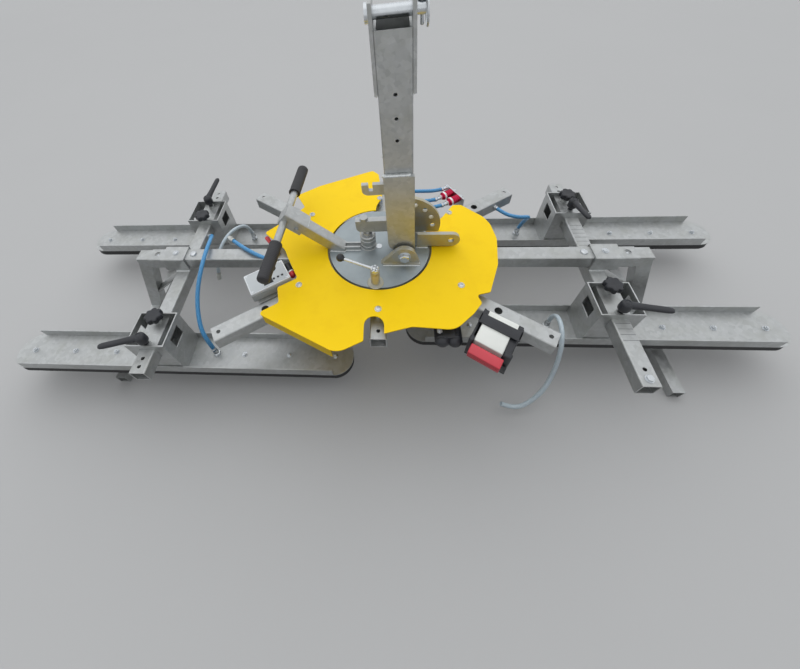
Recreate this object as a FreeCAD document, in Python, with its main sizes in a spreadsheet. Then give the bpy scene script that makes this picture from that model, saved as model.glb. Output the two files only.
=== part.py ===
import FreeCAD, Part
import math
import os
import re

import Sketcher

# Vacuum panel lifter: a cross-shaped frame on two parking legs, four long suction pads on sliding
# carriers, and a turntable with a tilting lifting mast. Millimetres, X along the main beam,
# Y away from the viewer, Z up, the floor at Z = 0 under the feet.

V = FreeCAD.Vector
doc = FreeCAD.newDocument("panel_lifter")
dims = doc.addObject("Spreadsheet::Sheet", "dims")

SIZES = [
    # main beam, cross tubes, sleeves
    ("beam_length", 1310), ("beam_size", 40), ("beam_wall", 2.5), ("beam_top", 285),
    ("tube_corner", 4), ("slide_gap", 0.2), ("sleeve_wall", 4.8), ("sleeve_length", 67),
    ("cross_x", 566), ("cross_size", 40), ("cross_wall", 3), ("cross_length", 642),
    ("end_hole_radius", 4.5), ("end_hole_first", 16), ("end_hole_pitch", 20),
    # legs
    ("leg_wall", 2.5), ("leg_insert", 90), ("leg_elbow", 20), ("foot_x", 763),
    ("foot_size", 30), ("foot_length", 517), ("brace_width", 30), ("brace_thick", 5),
    ("brace_drop", 175), ("leg_bolt_inset", 22), ("leg_port_radius", 8), ("stop_block_long", 80),
    ("stop_block_tall", 200),
    # suction pads
    ("pad_x", 556.7), ("pad_straight", 872), ("pad_width", 100), ("pad_plate", 3),
    ("pad_flange", 27), ("pad_level", 116), ("seal_thick", 21), ("seal_lip", 16),
    ("seal_recess", 3.5), ("pad_bolt_pitch", 124.5), ("pad_bolt_radius", 4.5),
    ("pad_bolt_tall", 9), ("barb_inset", 110), ("barb_radius", 7), ("barb_tall", 25),
    ("pad_y_front_left", -217), ("pad_y_front_right", -120.5),
    ("pad_y_rear_left", 204), ("pad_y_rear_right", 215),
    # carriers, clamp levers and star knobs
    ("carrier_width", 98.8), ("carrier_depth", 92), ("carrier_wall", 3), ("carrier_tall", 142.3),
    ("window_size", 41), ("nut_radius", 9), ("nut_tall", 8), ("stud_radius", 5), ("stud_gap", 0.3),
    ("knob_radius", 22), ("knob_tall", 17), ("knob_neck", 6.5), ("knob_lobe", 6.5), ("knob_lobes", 7),
    ("lever_hub_radius", 13), ("lever_hub_tall", 30), ("lever_length", 80), ("lever_rise", 16),
    ("lever_root_radius", 9), ("lever_tip_radius", 6.5), ("neck_tall", 9),
    ("knob_at_front_left", 28), ("lever_at_front_left", -35),
    ("knob_at_front_right", 28), ("lever_at_front_right", -33),
    ("knob_at_rear_left", -35), ("lever_at_rear_left", 30),
    ("knob_at_rear_right", 20), ("lever_at_rear_right", -24),
    ("lever_turn_front_left", 203), ("lever_turn_front_right", -17),
    ("lever_turn_rear_left", 80), ("lever_turn_rear_right", -85),
    # hub, arms and stubs
    ("hub_radius", 150), ("hub_plate", 8), ("arm_size", 40), ("arm_wall", 3), ("arm_start", 112),
    ("arm_reach", 459), ("arm_angle", 32), ("arm_hole_at", 444), ("arm_hole_radius", 5),
    ("arm_port_at", 327), ("arm_port_radius", 9), ("stub_start", 60), ("stub_reach", 248),
    ("stub_hole_inset", 20), ("bush_wall", 4), ("bearing_inner", 62), ("bearing_outer", 104),
    ("index_radius", 115), ("index_count", 24), ("index_angle", -93.5),
    # cover and its screws
    ("cover_thick", 3), ("cover_rise", 26), ("cover_hole", 136.5), ("cover_corner", 7), ("cover_sweep", 45),
    ("notch_x", -8.5), ("notch_y", -229), ("notch_radius", 22.5),
    ("flap_drop", 30), ("screw_radius", 4), ("screw_gap", 0.2), ("screw_head", 7),
    ("screw_head_tall", 4), ("post_radius", 8), ("screw_at_arm", 231), ("screw_at_stub", 188),
    # turntable, king pin and tilt lugs
    ("disc_radius", 131), ("disc_thick", 12), ("disc_rise", 29), ("run_gap", 0.3),
    ("king_radius", 12), ("fit_gap", 0.05), ("king_flange", 24), ("king_flange_tall", 12),
    ("king_neck", 8),
    ("hinge_x", 64), ("hinge_rise", 58), ("hinge_radius", 8), ("lug_radius", 27),
    ("lug_thick", 12), ("lug_inner", 46), ("lug_rib", 5), ("lug_left", -58), ("lug_right", 39),
    ("lug_base", 0),
    ("lug_left_side", -21.1), ("lug_left_high", 45.9), ("lug_right_side", 25.4), ("lug_right_high", 38.1),
    ("sector_radius", 97), ("sector_thick", 10),
    ("sector_inner", 48), ("sector_hole_at", 77), ("sector_hole_radius", 6.5), ("sector_lift", 5),
    ("bolt_head_radius", 13), ("bolt_head_tall", 12), ("collar_radius", 12), ("lock_lug_start", 98),
    ("lock_lug_hole_x", 183), ("lock_lug_radius", 22), ("lock_lug_thick", 10), ("lock_hole_radius", 8),
    ("lock_lug_foot", 28),
    # push handle
    ("handle_x", -89), ("handle_y", -18), ("handle_turn", 175.8), ("handle_slope", 41.8),
    ("handle_reach", 180),
    ("handle_width", 30), ("handle_tall", 34), ("handle_tip", 10.4), ("handle_run_in", 70),
    ("handle_head_start", 115), ("handle_head_width", 41), ("handle_head_tall", 44),
    ("handle_bolt_at", 132),
    ("handle_bolt_low", 27), ("handle_bolt_radius", 6), ("handle_bolt_tall", 5),
    ("link_start", -100), ("link_low", -13), ("link_width", 19), ("link_tall", 12), ("link_wall", 4),
    ("bar_at", 168), ("bar_low", 29), ("bar_half", 191), ("bar_radius", 9.5),
    ("grip_radius", 15.5), ("grip_length", 105), ("grip_end", 4),
    # index plunger and stop barrel
    ("plunger_flange", 18), ("plunger_flange_tall", 4), ("plunger_barrel", 11), ("plunger_tall", 49),
    ("plunger_pin", 6), ("plunger_pin_length", 45), ("plunger_cap_tall", 10), ("plunger_lever_angle", 158),
    ("plunger_lever_length", 90), ("plunger_rod", 3.5), ("plunger_ball", 10), ("stop_x", -28),
    ("stop_y", 5),
    ("stop_radius", 20), ("stop_tall", 46), ("stop_cap_radius", 13), ("stop_cap_tall", 10),
    # mast
    ("mast_lean", 2.5), ("mast_size", 60), ("mast_wall", 4), ("mast_offset", -6), ("mast_top", 505),
    ("fork_height", 167), ("cheek_thick", 10), ("cheek_side", 2), ("cheek_height", 234),
    ("cheek_round", 26), ("web_low", 34), ("cheek_corner", 30), ("mast_hole_radius", 3.5),
    ("mast_hole_low", 313),
    ("mast_hole_pitch", 45.5), ("strip_thick", 6), ("strip_low", 402), ("strip_over", 20),
    ("lift_pin_height", 522), ("lift_pin_radius", 10), ("lift_pin_head", 15), ("lift_pin_head_tall", 6),
    ("lift_pin_end", 14.5), ("linch_hole_at", 9), ("hook_tip", -90), ("hook_low", 154), ("hook_tall", 30),
    ("hook_thick", 10), ("hook_corner", 14),
    ("hook_y", 5), ("slot_x", -70), ("slot_width", 10), ("slot_depth", 18), ("stop_bar_tip", -117),
    ("stop_bar_low", 34), ("stop_bar_tall", 38), ("stop_bar_thick", 16), ("stop_bar_corner", 15),
    ("stop_bolt_x", -96),
    ("stop_bolt_radius", 6), ("stop_bolt_head", 10), ("stop_bolt_head_tall", 8), ("stop_gap", 5.2),
    ("linch_radius", 3), ("linch_cap_tall", 6), ("linch_length", 44), ("bail_radius", 19),
    ("bail_wire", 1.8),
    # gear on the arms
    ("box_start", 240), ("box_length", 104), ("box_near", 30), ("box_width", 66), ("box_tall", 33),
    ("shelf_thick", 5), ("box_knob_radius", 9), ("box_knob_tall", 3), ("holder_start", 300),
    ("holder_length", 90), ("holder_width", 99), ("holder_wall", 5), ("holder_tall", 54),
    ("battery_gap", 0.6), ("battery_near", 46), ("battery_tall", 62), ("battery_block", 22),
    ("battery_block_tall", 26), ("battery_block_rise", 36), ("battery_block_long", 68.4),
    ("battery_block_at", 9), ("pump_x", 158), ("pump_spread", 28), ("pump_radius", 17), ("pump_length", 84),
    ("pump_front", -254), ("pump_shelf_inset", 20), ("pump_shelf_reach", 122), ("valve_at", 300),
    ("valve_plate", 4), ("valve_plate_width", 82),
    ("valve_near", 44), ("valve_pitch", 30), ("filter_radius", 12), ("filter_length", 38),
    ("valve_rise", 16), ("nipple_radius", 5.5), ("nipple_length", 14), ("elbow_at", 95), ("elbow_rise", 22),
    ("ball_valve_x", -283),
    ("ball_valve_radius", 9), ("ball_valve_tall", 13), ("red_lever_length", 62), ("red_lever_width", 13),
    ("red_lever_thick", 4), ("red_lever_angle", 128), ("hose_radius", 5.5), ("hose_wall", 1.6),
    ("coupling_radius", 8), ("coupling_length", 26), ("hose_off_barb", 1.4), ("hose_off_face", 2.3),
    ("hose_off_arm", 0.8), ("hose_off_nipple", 0.8),
]

# Corners of the sheet-metal cover, seen from above, from the rear gap round by the left.
COVER = [
    (-15, 100), (-9, 158), (8, 191), (-5, 300), (-24, 319), (-45, 311), (-188, 250), (-255, 207),
    (-223, 155), (-271, 100), (-322, 52), (-253, -8), (-240, -36), (-203, -102), (-249, -130),
    (-237, -173), (-282, -202), (-88, -295), (-31, -266), (15, -248),
    (76, -231), (169, -237), (214, -197), (236, -170), (228, -149), (260, -141),
    (293, -61), (307, 24), (300, 76), (286, 104), (232, 153), (209, 152), (171, 99), (90, 52),
]
for number, (corner_x, corner_y) in enumerate(COVER):
    SIZES.append(("cover_x_%d" % number, corner_x))
    SIZES.append(("cover_y_%d" % number, corner_y))

for row, (alias, value) in enumerate(SIZES, start=1):
    dims.set("A%d" % row, alias)
    dims.set("B%d" % row, str(value))
    dims.setAlias("B%d" % row, alias)
doc.recompute()

ALIASES = {alias for alias, _ in SIZES}
NODES = []


def val(alias):
    """The number in one cell of the sheet."""
    return float(getattr(dims, alias))


def expand(text):
    """An expression on the sheet's aliases, written as the document wants it."""
    return re.sub(r"[a-z][a-z_0-9]*", lambda word: "dims." + word.group() if word.group() in ALIASES
                  else word.group(), text)


def bind(obj, **sizes):
    for prop, text in sizes.items():
        obj.setExpression(prop, expand(text))


def locate(obj, place, axis=None, angle=0.0):
    """Put an object at expressions for x, y, z, turned by an angle about an axis."""
    turn = FreeCAD.Rotation(axis, angle) if axis is not None else FreeCAD.Rotation()
    obj.Placement = FreeCAD.Placement(V(), turn)
    for letter, text in zip("xyz", place):
        obj.setExpression("Placement.Base." + letter, expand(text))
    return obj


def box(name, size, low, axis=None, angle=0.0):
    """A block from its low corner, sizes and corner as expressions."""
    obj = doc.addObject("Part::Box", name)
    bind(obj, Length=size[0], Width=size[1], Height=size[2])
    return locate(obj, low, axis, angle)


TURNS = {"z": (V(0, 0, 1), 0), "x": (V(0, 1, 0), 90), "y": (V(1, 0, 0), -90)}


def cyl(name, radius, height, base, along="z"):
    obj = doc.addObject("Part::Cylinder", name)
    bind(obj, Radius=radius, Height=height)
    axis, angle = TURNS[along]
    return locate(obj, base, axis, angle)


def ball(name, radius, base):
    obj = doc.addObject("Part::Sphere", name)
    bind(obj, Radius=radius)
    return locate(obj, base)


def fuse(name, parts):
    obj = doc.addObject("Part::MultiFuse", name)
    obj.Shapes = parts
    obj.Refine = True
    return obj


def cut(name, base, tools):
    obj = doc.addObject("Part::Cut", name)
    obj.Base = base
    obj.Tool = tools[0] if len(tools) == 1 else fuse(name + "_tools", tools)
    obj.Refine = True
    return obj


def common(name, base, tool):
    obj = doc.addObject("Part::Common", name)
    obj.Base = base
    obj.Tool = tool
    obj.Refine = True
    return obj


def group(name, parts):
    obj = doc.addObject("Part::Compound", name)
    obj.Links = parts
    return obj


def rounded(name, base, radius, direction, chosen=None):
    """Round the edges of a block that run along one direction, or the chosen ones among them."""
    doc.recompute()
    edges = []
    for index, edge in enumerate(base.Shape.Edges, start=1):
        run = edge.tangentAt(edge.FirstParameter)
        if abs(abs(run.dot(direction)) - 1) < 1e-6 and (chosen is None or chosen(edge)):
            edges.append((index, val(radius), val(radius)))
    obj = doc.addObject("Part::Fillet", name)
    obj.Base = base
    obj.Edges = edges
    return obj


def tube(name, size, low, wall, along):
    """A square tube with rounded outer corners, open at both ends."""
    way = {"x": 0, "y": 1}[along]
    outer = rounded(name + "_round", box(name + "_block", size, low), "tube_corner",
                    V(1, 0, 0) if along == "x" else V(0, 1, 0))
    inner_size = []
    inner_low = []
    for index in range(3):
        if index == way:
            inner_size.append("(%s)+2" % size[index])
            inner_low.append("(%s)-1" % low[index])
        else:
            inner_size.append("(%s)-2*%s" % (size[index], wall))
            inner_low.append("(%s)+%s" % (low[index], wall))
    return cut(name, outer, [box(name + "_bore", inner_size, inner_low)])


def node(label, obj):
    """Mark an object as one finished sub-part."""
    obj.Label = label
    NODES.append(obj)
    return obj


def plate(name, corners, thick, place):
    """A sheet cut to an outline: a sketch of straight edges, padded upward."""
    body = doc.addObject("PartDesign::Body", name)
    sketch = body.newObject("Sketcher::SketchObject", name + "_outline")
    plane = [item for item in body.Origin.OriginFeatures if item.Role == "XY_Plane"][0]
    sketch.AttachmentSupport = [(plane, "")]
    sketch.MapMode = "FlatFace"
    points = [V(val(first), val(second), 0) for first, second in corners]
    count = len(points)
    for index in range(count):
        sketch.addGeometry(Part.LineSegment(points[index], points[(index + 1) % count]), False)
    for index in range(count):
        sketch.addConstraint(Sketcher.Constraint("Coincident", index, 2, (index + 1) % count, 1))
    for index, (first, second) in enumerate(corners):
        for kind, alias in (("DistanceX", first), ("DistanceY", second)):
            tie = sketch.addConstraint(Sketcher.Constraint(kind, -1, 1, index, 1, val(alias)))
            sketch.setExpression("Constraints[%d]" % tie, expand(alias))
    pad = body.newObject("PartDesign::Pad", name + "_pad")
    pad.Profile = sketch
    bind(pad, Length=thick)
    locate(body, place)
    return body


def route(points):
    """A wire of straight runs joined by tangent arcs, and its least arc radius."""
    edges = []
    start = points[0]
    least = None
    for index in range(1, len(points) - 1):
        back = points[index - 1] - points[index]
        ahead = points[index + 1] - points[index]
        shorter = min(back.Length, ahead.Length)
        turn = math.pi - back.getAngle(ahead)
        trim = 0.45 * shorter
        radius = trim / math.tan(turn / 2)
        least = radius if least is None else min(least, radius)
        back.normalize()
        ahead.normalize()
        first = points[index] + back * trim
        last = points[index] + ahead * trim
        inward = back + ahead
        inward.normalize()
        middle = points[index] + inward * (radius / math.cos(turn / 2) - radius)
        edges.append(Part.LineSegment(start, first).toShape())
        edges.append(Part.Arc(first, middle, last).toShape())
        start = last
    edges.append(Part.LineSegment(start, points[-1]).toShape())
    return Part.Wire(edges), least


def sweep(points, radius):
    wire, least = route(points)
    ring = Part.Wire([Part.Circle(points[0], points[1] - points[0], radius).toShape()])
    solid = Part.Wire(wire.Edges).makePipeShell([ring], True, False)
    return solid, wire.Length, least


def hose(label, runs, coupled=False):
    """One node of hoses, each a hollow tube along its own points, some with a coupling on the end."""
    shapes = []
    for points in runs:
        outer, length, least = sweep(points, val("hose_radius"))
        bore = val("hose_radius") - val("hose_wall")
        inner, _, _ = sweep(points, bore)
        solid = outer.cut(inner)
        share = solid.Volume / (math.pi * (val("hose_radius") ** 2 - bore ** 2) * length)
        print("%s: length %.0f, least bend radius %.0f, volume against section %.3f"
              % (label, length, least, share))
        if coupled:
            aim = points[-1] - points[-2]
            aim.normalize()
            solid = solid.fuse(Part.makeCylinder(val("coupling_radius"), val("coupling_length"),
                                                 points[-1] - aim * val("coupling_radius"), aim))
        shapes.append(solid)
    obj = doc.addObject("Part::Feature", label)
    obj.Shape = shapes[0] if len(shapes) == 1 else Part.makeCompound(shapes)
    obj.Placement = FreeCAD.Placement()
    return node(label, obj)


# Heights that many pieces share.
SLEEVE_OUT = "(beam_size+2*slide_gap+2*sleeve_wall)"
SLEEVE_LOW = "(beam_top-beam_size-slide_gap-sleeve_wall)"
CROSS_MID = "(%s-cross_size/2)" % SLEEVE_LOW
RUNNER_OUT = "(cross_size+2*slide_gap+2*sleeve_wall)"
RUNNER_TOP = "(%s+slide_gap+sleeve_wall)" % SLEEVE_LOW
NUT_TOP = "(%s+nut_tall)" % RUNNER_TOP
DISC_TOP = "(beam_top+disc_rise)"
DISC_LOW = "(%s-disc_thick)" % DISC_TOP
SIDES = {"left": "-1", "right": "1"}
PADS = {"front_left": "left", "front_right": "right", "rear_left": "left", "rear_right": "right"}


def main_beam():
    shell = tube("beam", ("beam_length", "beam_size", "beam_size"),
                 ("-beam_length/2", "-beam_size/2", "beam_top-beam_size"), "beam_wall", "x")
    tools = [cyl("beam_king_hole", "king_radius+fit_gap+bush_wall", "beam_size+2",
                 ("0", "0", "beam_top-beam_size-1"))]
    for side, sign in SIDES.items():
        tools.append(cyl("beam_leg_hole_" + side, "screw_radius+screw_gap", "beam_size+2",
                         (sign + "*(beam_length/2-leg_bolt_inset)", "0", "beam_top-beam_size-1")))
        tools.append(cyl("beam_leg_port_" + side, "leg_port_radius", "beam_wall+1",
                         (sign + "*(beam_length/2-leg_bolt_inset)", "0", "beam_top-beam_wall")))
        tools.append(cyl("beam_pin_hole_" + side, "end_hole_radius", "beam_wall+2",
                         (sign + "*(cross_x-cross_size)", "0", "beam_top-beam_wall-1")))
    node("main_beam", cut("main_beam", shell, tools))


def cross_tube(side):
    sign = SIDES[side]
    name = "cross_tube_" + side
    shell = tube(name + "_tube", ("cross_size", "cross_length", "cross_size"),
                 (sign + "*cross_x-cross_size/2", "-cross_length/2", SLEEVE_LOW + "-cross_size"),
                 "cross_wall", "y")
    tools = []
    for end in ("1", "-1"):
        for step in ("0", "1"):
            tools.append(cyl(name + "_hole", "end_hole_radius", "cross_wall+2",
                             (sign + "*cross_x", end + "*(cross_length/2-end_hole_first-" + step
                              + "*end_hole_pitch)", SLEEVE_LOW + "-cross_wall-1")))
    drilled = cut(name + "_drilled", shell, tools)
    sleeve_low = sign + "*(cross_x-cross_size/2+sleeve_length/2)-sleeve_length/2"
    outer = box(name + "_sleeve", ("sleeve_length", SLEEVE_OUT, SLEEVE_OUT),
                (sleeve_low, "-%s/2" % SLEEVE_OUT, SLEEVE_LOW))
    bore = box(name + "_sleeve_bore", ("sleeve_length+2", "beam_size+2*slide_gap", "beam_size+2*slide_gap"),
               (sleeve_low + "-1", "-beam_size/2-slide_gap", "beam_top-beam_size-slide_gap"))
    round_outer = rounded(name + "_sleeve_round", outer, "tube_corner", V(1, 0, 0))
    node(name, fuse(name, [drilled, cut(name + "_sleeve_tube", round_outer, [bore])]))


def leg(side):
    """A parking leg: a spigot in the beam's end, a slanted post, a foot tube and a knee brace."""
    sign = int(SIDES[side])
    name = "leg_" + side
    size = "(beam_size-2*beam_wall-2*slide_gap)"
    elbow_x = val("beam_length") / 2 + val("leg_elbow")
    fall = val("beam_top") - val("beam_size") / 2 - val("foot_size") / 2
    slant = math.degrees(math.atan2(val("foot_x") - elbow_x, fall))
    post = math.hypot(val("foot_x") - elbow_x, fall)
    bends = []
    feet = []
    for wall, tag in (("0", "out"), ("leg_wall", "in")):
        across = "(%s-2*%s)" % (size, wall)
        start = "(beam_length/2-leg_insert-%s)" % ("0" if tag == "out" else "1")
        reach = "(leg_insert+leg_elbow+%s/2)" % across
        spigot = box(name + "_spigot_" + tag, (reach, across, across),
                     (start if sign > 0 else "-%s-%s" % (start, reach), "-%s/2" % across,
                      "beam_top-beam_size/2-%s/2" % across))
        shaft = doc.addObject("Part::Box", name + "_post_" + tag)
        bind(shaft, Length=across, Width=across)
        shaft.Height = post
        half = (val("beam_size") - 2 * val("beam_wall") - 2 * val("slide_gap")) / 2
        half -= val("leg_wall") if tag == "in" else 0
        turn = FreeCAD.Rotation(V(0, 1, 0), 180 - sign * slant)
        top = V(sign * elbow_x, 0, val("beam_top") - val("beam_size") / 2)
        shaft.Placement = FreeCAD.Placement(top + turn.multVec(V(-half, -half, 0)), turn)
        foot_across = "(foot_size-2*%s)" % wall
        foot_long = "(foot_length+%s)" % ("0" if tag == "out" else "2")
        foot = box(name + "_foot_" + tag, (foot_across, foot_long, foot_across),
                   ("%d*foot_x-%s/2" % (sign, foot_across), "-%s/2" % foot_long, wall))
        bends.append(fuse(name + "_" + tag, [spigot, shaft]))
        feet.append(foot)
    # The post is cut off level and stands on the foot tube.
    under = box(name + "_under", ("4*foot_size", "2*foot_size", "foot_size"),
                ("%d*foot_x-2*foot_size" % sign, "-foot_size", "0"))
    bent = cut(name + "_bent", bends[0], [bends[1], under])
    hollow = fuse(name + "_hollow", [bent, cut(name + "_foot", feet[0], [feet[1]])])
    hole = cyl(name + "_hole", "screw_radius+screw_gap", "beam_size+2",
               ("%d*(beam_length/2-leg_bolt_inset)" % sign, "0", "beam_top-beam_size-1"))
    drilled = cut(name + "_drilled", hollow, [hole])
    # The brace runs from the cross tube's outer face to the middle of the post.
    near = V(sign * (val("cross_x") + val("cross_size") / 2), 0,
             val("beam_top") - val("beam_size") - val("slide_gap") - val("sleeve_wall")
             - val("cross_size") * 0.6)
    share = (val("brace_drop") - val("beam_size") / 2) / fall
    far = V(sign * (elbow_x + (val("foot_x") - elbow_x) * share - 10), 0,
            val("beam_top") - val("brace_drop"))
    bar = doc.addObject("Part::Box", name + "_brace")
    bind(bar, Width="brace_width", Height="brace_thick")
    bar.Length = near.distanceToPoint(far) + 30
    tilt = FreeCAD.Rotation(V(1, 0, 0), far - near)
    bar.Placement = FreeCAD.Placement(near + tilt.multVec(V(-30, -val("brace_width") / 2, 0)), tilt)
    if sign < 0:
        fall_angle = math.degrees(math.atan2(near.z - far.z, near.x - far.x))
        tilt = FreeCAD.Rotation(V(0, 1, 0), 180 - fall_angle)
        bar.Placement = FreeCAD.Placement(near + tilt.multVec(V(-30, -val("brace_width") / 2, 0)), tilt)
    stop = box(name + "_brace_stop", ("stop_block_long", "brace_width+10", "stop_block_tall"),
               ("%d*(cross_x+cross_size/2)-%s" % (sign, "stop_block_long" if sign > 0 else "0"),
                "-brace_width/2-5",
                "beam_top-stop_block_tall"))
    trimmed = cut(name + "_brace_cut", bar, [stop])
    node(name, fuse(name, [drilled, trimmed]))


def stadium(name, straight, width, height, x, y, z):
    """A long plate with half-round ends, centred on x and y."""
    block = box(name + "_mid", (straight, width, height), ("%s-%s/2" % (x, straight),
                                                           "%s-%s/2" % (y, width), z))
    ends = [cyl(name + "_end", width + "/2", height, ("%s%s%s/2" % (x, mark, straight), y, z))
            for mark in ("-", "+")]
    return fuse(name, [block] + ends)


def pad(corner):
    side = PADS[corner]
    x = "(%s*pad_x)" % SIDES[side]
    y = "pad_y_" + corner
    base = stadium("pad_base_" + corner, "pad_straight", "pad_width", "pad_plate", x, y,
                   "pad_level-pad_plate")
    flanges = []
    for place in ("%s-pad_width/2" % y, "%s+pad_width/2-pad_plate" % y):
        flanges.append(box("pad_flange_" + corner, ("pad_straight", "pad_plate", "pad_flange"),
                           ("%s-pad_straight/2" % x, place, "pad_level")))
    node("pad_channel_" + corner, fuse("pad_channel_" + corner, [base] + flanges))
    seal = stadium("seal_block_" + corner, "pad_straight", "pad_width", "seal_thick", x, y,
                   "pad_level-pad_plate-seal_thick")
    hollow = stadium("seal_hollow_" + corner, "pad_straight", "(pad_width-2*seal_lip)", "seal_recess+1", x,
                     y,
                     "pad_level-pad_plate-seal_thick-1")
    node("pad_seal_" + corner, cut("pad_seal_" + corner, seal, [hollow]))
    pieces = []
    for mark in ("-", "+"):
        for step in ("0", "1", "2"):
            pieces.append(cyl("pad_bolt_" + corner, "pad_bolt_radius", "pad_bolt_tall",
                              ("%s%s(pad_straight/2-%s*pad_bolt_pitch)" % (x, mark, step), y, "pad_level")))
    barb_x = "(%s-(%s)*barb_inset)" % (x, SIDES[side])
    collar = cyl("barb_collar_" + corner, "barb_radius+3", "barb_tall/3", (barb_x, y, "pad_level"))
    stem = cyl("barb_" + corner, "barb_radius", "barb_tall", (barb_x, y, "pad_level"))
    pieces.append(fuse("barb_fitting_" + corner, [collar, stem]))
    node("pad_fittings_" + corner, group("pad_fittings_" + corner, pieces))


def carrier(corner):
    """An open-topped box welded to a runner that slides on the cross tube."""
    x = "(%s*cross_x)" % SIDES[PADS[corner]]
    y = "pad_y_" + corner
    name = "carrier_" + corner
    outer = box(name + "_outer", ("carrier_width", "carrier_depth", "carrier_tall"),
                (x + "-carrier_width/2", y + "-carrier_depth/2", "pad_level"))
    inner = box(name + "_inner", ("carrier_width-2*carrier_wall", "carrier_depth-2*carrier_wall",
                                  "carrier_tall"),
                (x + "-carrier_width/2+carrier_wall", y + "-carrier_depth/2+carrier_wall",
                 "pad_level+carrier_wall"))
    runner = box(name + "_runner", (RUNNER_OUT, "carrier_depth", RUNNER_OUT),
                 (x + "-%s/2" % RUNNER_OUT, y + "-carrier_depth/2", CROSS_MID + "-%s/2" % RUNNER_OUT))
    window = box(name + "_window", ("carrier_width+2", "window_size", "window_size"),
                 (x + "-carrier_width/2-1", y + "-window_size/2", CROSS_MID + "-window_size/2"))
    shell = cut(name + "_shell", outer, [inner, window])
    studs = []
    nuts = []
    for kind in ("knob", "lever"):
        at = "%s+%s_at_%s" % (y, kind, corner)
        nuts.append(cyl(name + "_nut_" + kind, "nut_radius", "nut_tall", (x, at, RUNNER_TOP)))
        studs.append(cyl(name + "_stud_hole_" + kind, "stud_radius+stud_gap",
                         "nut_tall+sleeve_wall+slide_gap+2",
                         (x, at, RUNNER_TOP + "-sleeve_wall-slide_gap-1")))
    bore = box(name + "_bore", ("cross_size+2*slide_gap", "carrier_depth+2", "cross_size+2*slide_gap"),
               (x + "-cross_size/2-slide_gap", y + "-carrier_depth/2-1",
                CROSS_MID + "-cross_size/2-slide_gap"))
    node(name, cut(name, fuse(name + "_solid", [shell, runner] + nuts), [bore] + studs))


def star_knob(corner):
    x = "(%s*cross_x)" % SIDES[PADS[corner]]
    at = "(pad_y_%s+knob_at_%s)" % (corner, corner)
    name = "star_knob_" + corner
    low = "(%s+stud_gap)" % NUT_TOP
    parts = [cyl(name + "_stud", "stud_radius", "nut_tall+sleeve_wall+1",
                 (x, at, low + "-nut_tall-sleeve_wall")),
             cyl(name + "_neck", "knob_neck", "neck_tall+1", (x, at, low)),
             cyl(name + "_core", "knob_radius-knob_lobe", "knob_tall", (x, at, low + "+neck_tall"))]
    for step in range(int(val("knob_lobes"))):
        turn = 2 * math.pi * step / val("knob_lobes")
        parts.append(cyl(name + "_lobe", "knob_lobe", "knob_tall",
                         ("%s+(knob_radius-knob_lobe)*%.6f" % (x, math.cos(turn)),
                          "%s+(knob_radius-knob_lobe)*%.6f" % (at, math.sin(turn)), low + "+neck_tall")))
    node(name, fuse(name, parts))


def clamp_lever(corner):
    x = "(%s*cross_x)" % SIDES[PADS[corner]]
    at = "(pad_y_%s+lever_at_%s)" % (corner, corner)
    name = "clamp_lever_" + corner
    low = "(%s+stud_gap)" % NUT_TOP
    turn = math.radians(val("lever_turn_" + corner))
    rise = math.atan2(val("lever_rise"), val("lever_length"))
    aim = V(math.cos(turn) * math.cos(rise), math.sin(turn) * math.cos(rise), math.sin(rise))
    arm = doc.addObject("Part::Cone", name + "_arm")
    bind(arm, Radius1="lever_root_radius", Radius2="lever_tip_radius", Height="lever_length")
    spin = FreeCAD.Rotation(V(0, 0, 1), aim)
    locate(arm, (x, at, low + "+neck_tall+lever_hub_tall-lever_root_radius-1"), spin.Axis,
           math.degrees(spin.Angle))
    tip = ball(name + "_tip", "lever_tip_radius",
               ("%s+lever_length*%.6f" % (x, aim.x), "%s+lever_length*%.6f" % (at, aim.y),
                low + "+neck_tall+lever_hub_tall-lever_root_radius-1+lever_length*%.6f" % aim.z))
    parts = [cyl(name + "_stud", "stud_radius", "nut_tall+sleeve_wall+1",
                 (x, at, low + "-nut_tall-sleeve_wall")),
             cyl(name + "_neck", "knob_neck", "neck_tall+1", (x, at, low)),
             cyl(name + "_hub", "lever_hub_radius", "lever_hub_tall", (x, at, low + "+neck_tall")), arm,
             tip]
    node(name, fuse(name, parts))


def turned(name, obj, angle, base=("0", "0", "0")):
    """The same piece swung about Z, as its own object."""
    holder = group(name, [obj])
    return locate(holder, base, V(0, 0, 1), angle)


def arm_tube(name, start, reach):
    return tube(name + "_tube", ("%s-%s" % (reach, start), "arm_size", "arm_size"),
                (start, "-arm_size/2", "beam_top-arm_size"), "arm_wall", "x")


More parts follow.
